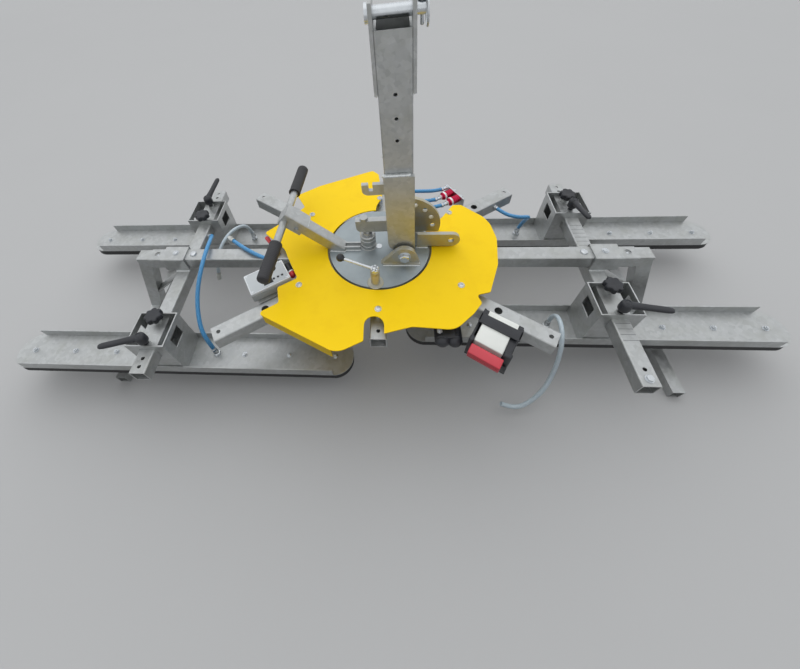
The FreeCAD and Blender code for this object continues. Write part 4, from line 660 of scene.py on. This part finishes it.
def index_plunger():
    """The index plunger's barrel, and its lugged cap with the lever and ball."""
    spot = Vector((*around(INDEX_CIRCLE, INDEX_ANGLE), DISC_TOP))
    whole = bmesh.new()
    join(whole, turned([(6.4, 0), (17, 0), (17, 2.6), (16.2, 3.4), (11.4, 3.6), (11, 4.6), (11, 36),
                        (10.4, 37), (10.4, 40), (11, 41), (11, 48), (10.2, 49), (6.4, 49), (6.4, 0)], 36),
         along(spot))
    bead_ring(whole, spot, 17.6, 5.0)
    piece("index_barrel", whole, [CHROMATE], "turntable", ["plunger_barrel"])

    whole = bmesh.new()
    cap = along(spot + 49.3 * UP)
    join(whole, turned([(0, 0), (10, 0), (10, 5.6), (9.2, 6.4), (6.6, 6.6), (6.2, 5.4), (0, 5.4)], 32), cap)
    for step in range(6):
        lug = block((5.2, 5.6, 5), (4.6, -2.8, 4.8), 1.2)
        join(whole, lug, cap @ swing(60 * step + 20))
    join(whole, hexagon(8.4, 3.4, 0.5), cap @ Matrix.Translation((0, 0, 5.2)))
    lever = along(spot + 54.3 * UP, (*around(1.0, INDEX_LEVER_AIM), 0))
    join(whole, turned([(0, 0), (3.5, 0), (3.5, 70), (3, 80), (3, 84), (0, 84)], 20), lever)
    ball = [(0, 79.6), (4.4, 79.6), (5.4, 80.6)]
    for turn in range(35, 180, 12):
        depth, reach = around(10, turn)
        ball.append((reach, 90 - depth))
    ball.append((0, 100))
    join(whole, turned(ball, 28), lever, 1)
    piece("index_lever_and_ball", whole, [ZINC, NYLON], "plunger_lever", ["plunger_lever"],
          40)


def stop_barrel():
    """The grooved barrel under the mast's stop bar, with its hexagon and button."""
    whole = bmesh.new()
    base = along(STOP_BARREL)
    join(whole, turned([(0, 0), (20, 0), (20, 12), (18.6, 13), (18.6, 15), (20, 16), (20, 31), (18.8, 32),
                        (18.8, 34), (20, 35), (20, 43), (17.6, 46), (0, 46)], 40), base)
    join(whole, hexagon(22, 7, 1.2), base @ Matrix.Translation((0, 0, 46)) @ swing(9))
    join(whole, turned([(0, 52), (7.4, 52), (7.4, 55.2), (6.6, 56), (0, 56)], 24), base)
    bead_ring(whole, STOP_BARREL, 20.3, 4.5)
    piece("stop_spring_barrel", whole, [GALVANISED], "turntable", ["stop_barrel"])


def hinge_bolt():
    """The mast's hinge bolt with its head, nut, and a collar between each cheek and its lug."""
    whole = bmesh.new()
    hex_bolt(whole, (HINGE.x, -58, HINGE.z), (0, -1, 0), 22, 10, 8)
    hex_bolt(whole, (HINGE.x, 58, HINGE.z), (0, 1, 0), 22, 10, 20)
    shaft = along(HINGE, (0, 1, 0))
    join(whole, pin(8, -70, 70, 32), shaft)
    for low, high in ((-46, -40.3), (40.3, 48)):
        join(whole, turned([(8, low), (12, low), (12, high), (8, high), (8, low)], 28), shaft)
    piece("hinge_bolt_and_nut", whole, [ZINC], "turntable", ["hinge_bolt"])


def turntable_welds():
    """The beads along the lugs and the handle's foot on the disc, and at the handle's thicker head."""
    welds = bmesh.new()
    for start, end, y, width in ((13, 101, -63.5, 5), (8, 101, -45.5, 5), (38, 114, 47.5, 5),
                                 (38, 114, 58.5, 5), (98, 125, -5.5, 5), (98, 125, 5.5, 5),
                                 (-87, -50, -13.4, 5.5), (-87, -50, 6.4, 5.5)):
        bead(welds, (start, y, DISC_TOP), (end, y, DISC_TOP), width)
    for y in (-30.5, 0.5):
        bead(welds, (1, y, DISC_TOP), (38, y, DISC_TOP), 5, HANDLE_FOOT)
    bead(welds, (0, -29, DISC_TOP), (0, -1, DISC_TOP), 5, HANDLE_FOOT)
    bead(welds, (115, -28, -0.6), (115, -2, -0.6), 2.4, HANDLE_PLACE)
    bead(welds, (114.6, -31.5, -3), (114.6, -31.5, -31), 4, HANDLE_PLACE)
    piece("turntable_welds", welds, [WELD], "turntable")


def mast_pieces():
    """The mast's weld beads, and the linch pin with its bail at the mast's head."""
    welds = bmesh.new()
    for y in (-34, 34):
        bead(welds, (-36, y, 234), (13, y, 234), 11, MAST_PLACE)
    for x in (-39, 24.6):
        bead(welds, (x, -26, 402), (x, 26, 402), 5, MAST_PLACE)
    for y in (0, 10):
        bead(welds, (-38.5, y, 156), (-38.5, y, 182), 4, MAST_PLACE)
    for y in (-3, 13):
        bead(welds, (-38.5, y, 36), (-38.5, y, 70), 4.5, MAST_PLACE)
    piece("mast_welds", welds, [WELD], "mast")

    whole = bmesh.new()
    spot = MAST_PLACE @ Matrix.Translation((39, 0, 522))
    join(whole, turned([(0, -24), (2.2, -24), (3, -22.6), (3, 10), (0, 10)], 20), spot)
    join(whole, turned([(0, 10.4), (6.6, 10.4), (7, 11), (7, 15.4), (6, 16.2), (0, 16.2)], 28), spot)
    bail = [(5.0, 3, 13.3), (6.4, 6, 13.3)]
    bail += [(7.6, y, z) for y, z in ((15.5, 13.3), (19, 2), (19, -12), (12, -24), (0, -25), (-12, -24),
                                      (-19, -12), (-19, 2), (-15.5, 13.3))]
    bail += [(6.4, -6, 13.3), (5.0, -3, 13.3)]
    join(whole, wire(bail, 1.8), spot)
    piece("linch_pin_and_bail", whole, [ZINC], "linch_pin", ["linch_pin"], 40)


def control_pieces():
    """The control box with its screws, switch, lamps and gland, the pressure switch and the dial."""
    place = swing(180 + ARM_ANGLE)
    low_x = 240.0
    low_y = -96.0
    length = 104.0
    width = 66.0
    screw_inset = 6.5
    lid = BEAM_TOP + 33
    whole = bmesh.new()
    join(whole, block((length, width, 23), (low_x, low_y, BEAM_TOP), 3.0, 3), place, 1)
    join(whole, block((length, width, 10.2), (low_x, low_y, lid - 10.2), 2.6, 3), place)
    join(whole, block((length - 6, width - 6, 0.6), (low_x + 3, low_y + 3, lid - 0.3), 0.2, 1), place, 1)
    for y in (low_y + screw_inset, low_y + width - screw_inset):
        for x in (low_x + screw_inset, low_x + length - screw_inset):
            join(whole, turned([(0, 0), (3, 0), (3, 0.7), (2.4, 1.1), (0, 1.1)], 20),
                 place @ Matrix.Translation((x, y, lid - 0.4)), 2)
    join(whole, block((24, 17, 2.0), (282, -56, lid - 0.6), 0.8), place, 3)
    join(whole, block((20, 13, 1.2), (284, -54, lid + 0.6), 0.6), place, 4)
    for step in range(3):
        join(whole, turned([(0, 0), (3, 0), (3, 1.4), (2.2, 2.2), (0, 2.4)], 20),
             place @ Matrix.Translation((256 + step * 11, -48, lid - 0.4)), 3)
    join(whole, turned([(0, 0), (8, 0), (8, 3), (7, 4), (7, 10), (6.2, 11), (0, 11)], 24),
         place @ along((264, low_y, 302), (0, -1, 0)), 3)
    piece("control_housing", whole, [WHITE_ABS, GREY_ABS, ZINC, NYLON, RUBBER], "frame", ["control_box"])

    whole = bmesh.new()
    switch = place @ along((231.6, -88, 299), (0, 1, 0))
    join(whole, turned([(0, 0), (7, 0), (8, 1), (8, 27), (7.4, 28), (0, 28)], 28), switch)
    join(whole, turned([(0, 28), (8, 28), (8.2, 28.6), (8.2, 31.4), (8, 32), (0, 32)], 28), switch, 1)
    join(whole, turned([(0, 32), (7.4, 32), (7.8, 33), (7.8, 44), (6.4, 46), (0, 46)], 28), switch, 2)
    piece("pressure_switch", whole, [NYLON, WHITE_ABS, RED_VINYL], "frame")

    whole = bmesh.new()
    spot = place @ Matrix.Translation((low_x + 0.3 * length, low_y + 0.25 * width, lid))
    dial = turned([(0, 0.4), (9, 0.4), (9, 1.0), (8, 1.6), (7.6, 2.8), (6.8, 3), (0, 3)], 40)
    join(whole, dial, spot)
    join(whole, block((12, 2.2, 1.0), (-3, -1.1, 2.2), 0.3, 1), spot, 1)
    piece("control_dial", whole, [NYLON, WHITE_ABS], "control_knob", ["control_knob"])


def battery_pieces():
    """The battery's cradle with its red block, and the battery."""
    place = swing(-ARM_ANGLE)
    floor = 250.0
    strap = floor + 65.6
    length = 90.0
    inner = 300.0
    outer = inner + length
    near = -119.0
    rear = near + 73
    whole = bmesh.new()
    join(whole, block((length, 99, 5), (inner, near, floor), 1.0), place)
    join(whole, block((5, 99, 48), (inner, near, floor + 4), 1.4), place)
    for y in (near + 1, rear - 15):
        join(whole, block((9.4, 14, 64), (inner, y, floor + 4), 3.0, 3), place)
    join(whole, block((88, 4.6, 24), (inner + 1, near, floor + 4), 1.4), place)
    join(whole, block((88, 26, 46), (inner + 1, rear, floor + 4), 2.0), place)
    join(whole, block((66, 22, 4), (312, rear + 3, floor + 48), 1.2), place, 2)
    for x in (inner, outer - 11):
        join(whole, block((11, 12, 60), (x, rear + 1, floor + 4), 3.0, 3), place)
    join(whole, block((length, 25, 3), (inner, rear - 23, strap), 1.2), place)
    for x in (inner, outer - 4):
        join(whole, block((4, 4, 14), (x, rear + 1, floor + 54), 1.2), place)
        join(whole, block((4, 24, 3), (x, rear - 20, strap), 1.2), place)
    red = block((68.4, 22, 25), (309, near - 22, floor + 36.5), 2.2, 3)
    slope = [vert for vert in red.verts if vert.co.z > floor + 55 and vert.co.y < near - 11]
    bmesh.ops.translate(red, vec=(0, 0, -4), verts=slope)
    join(whole, red, place, 1)
    join(whole, block((62, 2.0, 2.0), (312.2, near - 22.6, floor + 47), 0.6), place, 3)
    join(whole, block((16, 1.6, 5), (330, near - 22.4, floor + 50), 0.6), place, 3)
    piece("battery_cradle", whole, [NYLON, RED_ABS, BATTERY_GREY, RED_VINYL], "frame",
          ["battery_holder"])

    whole = bmesh.new()
    join(whole, block((61, 65, 60), (310, near + 6.4, floor + 5.2), 2.5, 3), place)
    join(whole, block((15, 66, 56), (370.6, near + 5.8, floor + 5.4), 2.0), place, 1)
    for y in (near + 6.4, rear - 14.4):
        join(whole, block((18, 13, 59), (371.6, y, floor + 6), 4.4, 3), place, 1)
    piece("battery_case", whole, [BATTERY_GREY, NYLON], "battery", ["battery"])


def pump_pieces():
    """The pump's two ribbed heads, the block between them and its hose fitting."""
    level = 268.0
    rib_pitch = 3.6
    head = [(0, 0), (5, 0.3), (9.6, 1.6), (13, 4.2), (15.4, 7.6), (16.2, 10), (17, 10.6), (17, 13),
            (15.8, 13.6)]
    for rib in range(7):
        low = 16 + rib * rib_pitch
        head += [(17, low), (17, low + 1.6), (15.6, low + 2), (15.6, low + 3.2)]
    head += [(17, 42), (17, 82), (15, 84), (0, 84)]
    whole = bmesh.new()
    for x in (144, 172):
        join(whole, turned(head, 36), along((x, -254, level), (0, 1, 0)))
    join(whole, block((28, 64, 34), (144, -242, level - 17), 2.5))
    fitting = along((138, -226, level + 16))
    join(whole, hexagon(11, 5, 0.8), fitting, 1)
    join(whole, turned([(0, 5), (5, 5), (5, 7), (4, 8), (4, 13), (0, 13)], 20), fitting, 1)
    piece("diaphragm_pump", whole, [NYLON, WHITE_ABS], "frame", ["vacuum_pump"])


def valve_pieces():
    """The filters on their bracket with hose nipples, and the hand valve with its lever."""
    place = swing(ARM_ANGLE)
    level = BEAM_TOP + 16
    valve = Matrix.Translation((VALVE_X, 0, BEAM_TOP))
    nipple = [(0, -0.4), (5.5, -0.4), (5.5, 1.6), (4.3, 3.2), (5.5, 4), (4.3, 6.4), (5.5, 7.2),
              (4.3, 10), (5.5, 11), (4.6, 14), (0, 14)]
    whole = bmesh.new()
    join(whole, block((4, 82, 48), (BRACKET_FACE - 4, 20, BEAM_TOP - 20), 0.8), place)
    for y in FILTER_ROWS:
        outlet = place @ along((BRACKET_FACE, y, level), (1, 0, 0))
        join(whole, hexagon(15, 5), outlet)
        join(whole, turned([(0, 5), (4.6, 5), (4.6, 12), (3.8, 13), (0, 13)], 20), outlet)
        inlet = place @ along((FILTER_FACE, y, level), (-1, 0, 0))
        join(whole, turned(nipple, 24), inlet)
        join(whole, hexagon(14, 4.4, 0.8), inlet)
    elbow = place @ along((BRACKET_FACE - 4, 95, BEAM_TOP + 22), (-1, 0, 0))
    join(whole, turned(nipple, 24), elbow)
    join(whole, hexagon(13, 4.4, 0.8), elbow)
    for y in (30, 88):
        join(whole, hexagon(8, 3), place @ along((BRACKET_FACE, y, BEAM_TOP - 8), (1, 0, 0)))
    join(whole, hexagon(16, 6, 1.0), valve, 1)
    join(whole, turned([(0, 6), (8.4, 6), (9, 7), (9, 11), (8, 13), (0, 13)], 28), valve, 1)
    piece("valve_bracket_and_nipples", whole, [ZINC, BRASS], "frame", ["valve_bodies"])

    whole = bmesh.new()
    for y in FILTER_ROWS:
        spot = place @ along((FILTER_FACE, y, level), (1, 0, 0))
        join(whole, turned([(0, 0), (8, 0), (8.4, 1), (8.4, 3), (11.2, 4.4), (12, 6), (12, 15), (11, 16),
                            (11, 18), (12, 19), (12, 21), (11, 22), (11, 24), (12, 25), (12, 27),
                            (11, 28), (11, 30), (12, 31), (12, 36.8), (11, 38), (0, 38)], 36), spot)
        join(whole, turned([(12.0, 8), (12.15, 8.2), (12.15, 13.6), (12.0, 13.8)], 36), spot, 1)
    piece("line_filters", whole, [RED_ANODISED, WHITE_ABS], "frame", ["valve_filters"])

    # The lever's outline: a round eye, a waist and a broader rounded end.
    whole = bmesh.new()
    hand = valve @ Matrix.Translation((0, 0, 13.3)) @ swing(128)
    corners = []
    for turn in range(60, -61, -15):
        x, y = around(7.4, turn)
        corners.append((-x, y))
    corners += [(8, -6), (30, -5), (54, -6.2)]
    for turn in range(15, 180, 15):
        y, x = around(6.4, turn)
        corners.append((55.6 + x, -y))
    corners += [(54, 6.2), (30, 5), (8, 6)]
    join(whole, outline_plate(corners, 0, 4, 1.2), hand)
    join(whole, hexagon(8, 2.6, 0.5), hand @ Matrix.Translation((0, 0, 4)), 1)
    piece("valve_hand_lever", whole, [RED_VINYL, ZINC], "valve_lever", ["valve_lever"])


def frame_welds():
    """The beads between the beam's sleeves and the cross tubes, and at the posts' feet."""
    welds = bmesh.new()
    for side in (-1, 1):
        for x, half, edge, level, width in ((CROSS_X, 18, 25.5, SLEEVE_LOW, 6),
                                            (FOOT_X, 13, 17.3, FOOT_SIZE, 4.5)):
            for y in (-edge, edge):
                bead(welds, (side * (x - half), y, level), (side * (x + half), y, level), width)
    piece("frame_welds", welds, [WELD], "frame")


def hose_line(name, points):
    """A hose's line in metres, from its route's points in millimetres."""
    return round_line(name, [metres(point) for point in points], HOSE_RADIUS * MM, 5, 10)


def bending_hose(name, node, points):
    """A hose from the frame to a sliding pad, made as a fixed tube along its route."""
    line = hose_line(name, points)
    tube = as_mesh(line)
    line.data.bevel_depth = 0.0
    path = [tuple(vert.co) for vert in as_mesh(line).vertices]
    bpy.data.objects.remove(line)
    tube.name = name
    tube.materials.clear()
    tube.materials.append(BLUE_HOSE)
    tube.shade_smooth()
    obj = bpy.data.objects.new(name, tube)
    bpy.context.scene.collection.objects.link(obj)
    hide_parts(node)
    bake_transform(obj)


def coupling(name, points, body):
    """The turned coupling on a hose's end."""
    end = Vector(points[-1])
    aim = (end - Vector(points[-2])).normalized()
    overlap = 8.0
    whole = bmesh.new()
    join(whole, turned([(5.6, 0), (7.4, 0), (7.4, 5.4), (6.6, 6.2), (6.6, 8), (8, 8.6), (8, 10),
                        (7.4, 10.5), (8, 11), (8, 12.4), (7.4, 13), (8, 13.6), (8, 16), (6.4, 17.4),
                        (6.4, 24.6), (5.2, 26), (3.6, 26), (3.4, 20), (0, 20)], 28),
         along(end - aim * overlap, aim))
    return piece(name, whole, [COUPLING], body, ())


# The hoses' routes, as in the part's own source: the first point is where a hose leaves its fitting.
FRONT_LEFT = [(-541.5, 120, 225), (-519, 104, 249), (-495, 62, 284), (-483, 4, 300), (-478, -60, 296),
              (-481, -125, 261), (-469.7, -186, 215), (-451.7, -212, 182.4), (-446.7, -217, 142.4)]
REAR_RIGHT = [(346, 191.7, 265), (366.1, 159.5, 267), (402, 146.5, 266), (436, 158, 256),
              (449.7, 181, 228.4), (451.7, 203, 192.4), (446.7, 215, 142.4)]
REAR_LEFT = [(-446.7, 204, 142.4), (-448.7, 200, 186.4), (-462, 170, 219), (-484, 125, 227),
             (-498, 75, 217), (-507, 42, 187), (-510, 27, 150)]
FREE = [(446.7, -120.5, 142.4), (446.7, -121.5, 178.4), (445.2, -144.5, 206.4), (440.7, -180.5, 211.4),
        (437, -211, 190), (431.5, -237, 151), (421, -261, 112), (401, -285, 77), (369, -303, 45),
        (337, -310, 38), (306, -304, 49)]
SUPPLY = [(-275.2, -57.8, 302), (-293, -34.1, 302), (-330, -16, 296), (-386, 18, 292.5), (-426, 50, 287)]
VALVE_FRONT = [(186.3, 168.3, 301), (152, 149, 307), (112, 156, 305), (66, 164, 283), (22.3, 160, 265)]
VALVE_REAR = [(170.4, 193.8, 301), (136, 174, 308), (94, 184, 312), (56, 204, 292), (22.3, 206, 265)]
VALVE_TOP = [(191.5, 231.7, 307), (164, 215, 314), (125, 213, 316), (78, 228, 303), (22.3, 230, 265)]


def hose_band(whole, points):
    """A crimped band round the first stretch of a hose."""
    start = Vector(points[0])
    aim = (Vector(points[1]) - start).normalized()
    bore = HOSE_RADIUS - 0.2
    band = turned([(bore, 0), (6.6, 0), (6.8, 0.6), (6.8, 2.4), (6.3, 3), (6.8, 3.6), (6.8, 6.4), (6.6, 7),
                   (bore, 7)], 28)
    join(whole, band, along(start + aim * 2.5, aim))


def hose_fittings():
    """The bands on the hoses' ends, and the nuts and knee where hoses leave the frame."""
    whole = bmesh.new()
    for points in (FRONT_LEFT, REAR_RIGHT, SUPPLY, VALVE_FRONT, VALVE_REAR, VALVE_TOP):
        hose_band(whole, points)
    for points in (VALVE_FRONT, VALVE_REAR, VALVE_TOP):
        hose_band(whole, points[::-1])
        join(whole, hexagon(14, 4, 0.8), along((20, points[-1][1], points[-1][2]), (1, 0, 0)))
    join(whole, hexagon(15, 4, 0.8), along((-546, 120, 225), (1, 0, 0)))
    knee = bmesh.new()
    bmesh.ops.create_uvsphere(knee, u_segments=24, v_segments=14, radius=7.0)
    join(whole, knee, Matrix.Translation((-540.4, 119.4, 226)))
    join(whole, hexagon(15, 3.4, 0.8), swing(ARM_ANGLE) @ along((395, -20, 265), (0, -1, 0)))
    piece("hose_fittings", whole, [ZINC], "frame")
    for corner, points in (("front_left", FRONT_LEFT[::-1]), ("rear_right", REAR_RIGHT[::-1]),
                           ("rear_left", REAR_LEFT), ("front_right", FREE)):
        band = bmesh.new()
        hose_band(band, points)
        piece("hose_band_" + corner, band, [ZINC], "pad_" + corner)


def hoses():
    """The hoses that keep their shape, the two that run to a pad as fixed tubes, and their fittings."""
    blue = (BLUE_HOSE, "blue_hose")
    clear = (CLEAR_HOSE, "clear_hose")
    for name, node, points, body, far_end, lay, (finish, slot) in (
            ("hose_from_rear_left_pad", "hose_rear_left", REAR_LEFT, "pad_rear_left", "connector",
             "hanging", clear),
            ("hose_from_front_right_pad", "hose_free", FREE, "pad_front_right", "bare", "hanging", clear),
            ("hose_from_control_box", "hose_supply", SUPPLY, "frame", "connector", "loose", blue),
            ("hose_to_front_filter", "hose_valves", VALVE_FRONT, "frame", "object", "loose", blue),
            ("hose_to_rear_filter", "hose_valves", VALVE_REAR, "frame", "object", "loose", blue),
            ("hose_to_bracket", "hose_valves", VALVE_TOP, "frame", "object", "loose", blue)):
        line = hose_line(name, points)
        line.data.materials.append(finish)
        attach(line, body)
        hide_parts(node)
        ends = [coupling(name + "_coupling", points, body)] if far_end == "connector" else []
    bending_hose("hose_to_front_left_pad", "hose_front_left", FRONT_LEFT)
    bending_hose("hose_to_rear_right_pad", "hose_rear_right", REAR_RIGHT)
    hose_fittings()


dress(GALVANISED, "main_beam", "cross_tube_left", "cross_tube_right", "leg_left", "leg_right",
      "hub_spider", "handle_frame", "mast")
dress(ZINC, "bearing_ring", "king_pin", "plunger_pin", "lifting_pin")
dress(DISC, "turntable_disc")
dress(CHROMATE, "tilt_lugs")
dress(YELLOW, "cover")
fasteners()
for place_name in CORNERS:
    dress(GALVANISED, "carrier_" + place_name, "pad_channel_" + place_name)
    pad_pieces(place_name)
    star_knob(place_name)
    clamp_lever(place_name)
handle_pieces()
index_plunger()
stop_barrel()
hinge_bolt()
turntable_welds()
mast_pieces()
control_pieces()
battery_pieces()
pump_pieces()
valve_pieces()
frame_welds()
hoses()


def studio():
    """A plain pale floor under an even sky that lights more from behind and above, and a wide soft lamp."""
    floor_half = 9.0
    brightest = (0.0, 0.62, 0.78)
    aim_at = Vector((0, 0, 0.25))
    ground = bmesh.new()
    bmesh.ops.create_grid(ground, x_segments=1, y_segments=1, size=floor_half)
    mesh = bpy.data.meshes.new("studio_floor")
    ground.to_mesh(mesh)
    ground.free()
    made, tree, shader, place = surface("matt_studio_floor", roughness=0.9)
    tone = add(tree, "TexNoise", {"Vector": place, "Scale": 2.0})
    pale = add(tree, "Mix", {0: tone.outputs["Fac"], 6: linear("#ADADAD"), 7: linear("#AFAFAF")},
               data_type="RGBA")
    tree.links.new(pale.outputs[2], shader.inputs["Base Color"])
    mesh.materials.append(made)
    floor = bpy.data.objects.new("studio_floor", mesh)
    bpy.context.scene.collection.objects.link(floor)
    sky = bpy.data.worlds.new("studio_sky")
    sky.use_nodes = True
    tree = sky.node_tree
    outward = add(tree, "TexCoord").outputs["Generated"]
    behind = add(tree, "VectorMath", {0: outward, 1: brightest}, operation="DOT_PRODUCT")
    rise = add(tree, "MapRange", {"Value": behind.outputs["Value"], "From Min": 0.0, "From Max": 1.0,
                                  "To Min": 0.03, "To Max": 2.1})
    tree.nodes["Background"].inputs["Color"].default_value = linear("#F4F6F8")
    # Seen directly, mirrored in metal or through clear hose, the sky is plain white all round.
    rays = add(tree, "LightPath")
    sharp = add(tree, "Math", {0: rays.outputs["Is Glossy Ray"], 1: rays.outputs["Is Transmission Ray"]},
                operation="MAXIMUM")
    seen = add(tree, "Math", {0: rays.outputs["Is Camera Ray"], 1: sharp.outputs["Value"]},
               operation="MAXIMUM")
    shown = add(tree, "Mix", {0: seen.outputs["Value"], 2: rise.outputs["Result"], 3: 1.0},
                data_type="FLOAT")
    tree.links.new(shown.outputs[0], tree.nodes["Background"].inputs["Strength"])
    bpy.context.scene.world = sky
    lamp = bpy.data.lights.new("overhead_softbox", "AREA")
    lamp.shape = "SQUARE"
    lamp.size = 3.2
    lamp.energy = 10.0
    holder = bpy.data.objects.new("overhead_softbox", lamp)
    holder.location = (-0.6, 0.5, 3.4)
    holder.rotation_euler = (aim_at - holder.location).to_track_quat("-Z", "Y").to_euler()
    bpy.context.scene.collection.objects.link(holder)


def photo_camera():
    """The photograph's own viewpoint, for an image of 800 by 669."""
    width = 800.0
    height = 669.0
    sensor = 36.0
    focal = 358.97
    centre = (357.98, 233.30)
    stand_at = Vector((28.37, -612.01, 1041.84))
    yaw = -0.131
    pitch = 0.831
    roll = 0.107
    level_ahead = Vector((math.sin(yaw), math.cos(yaw), 0))
    level_right = Vector((math.cos(yaw), -math.sin(yaw), 0))
    ahead = level_ahead * math.cos(pitch) - UP * math.sin(pitch)
    down = -(UP * math.cos(pitch) + level_ahead * math.sin(pitch))
    right = level_right * math.cos(roll) + down * math.sin(roll)
    below = down * math.cos(roll) - level_right * math.sin(roll)
    lens = bpy.data.cameras.new("photo_camera")
    lens.sensor_width = sensor
    lens.lens = focal / width * sensor
    lens.shift_x = (width / 2 - centre[0]) / width
    lens.shift_y = (centre[1] - height / 2) / width
    lens.clip_start = 0.02
    lens.clip_end = 100.0
    eye = bpy.data.objects.new("photo_camera", lens)
    stand = Matrix((right, -below, -ahead)).transposed().to_4x4()
    stand.translation = stand_at * MM
    eye.matrix_world = stand
    bpy.context.scene.collection.objects.link(eye)
    bpy.context.scene.camera = eye


studio()
photo_camera()
bpy.context.scene.view_settings.view_transform = "Standard"
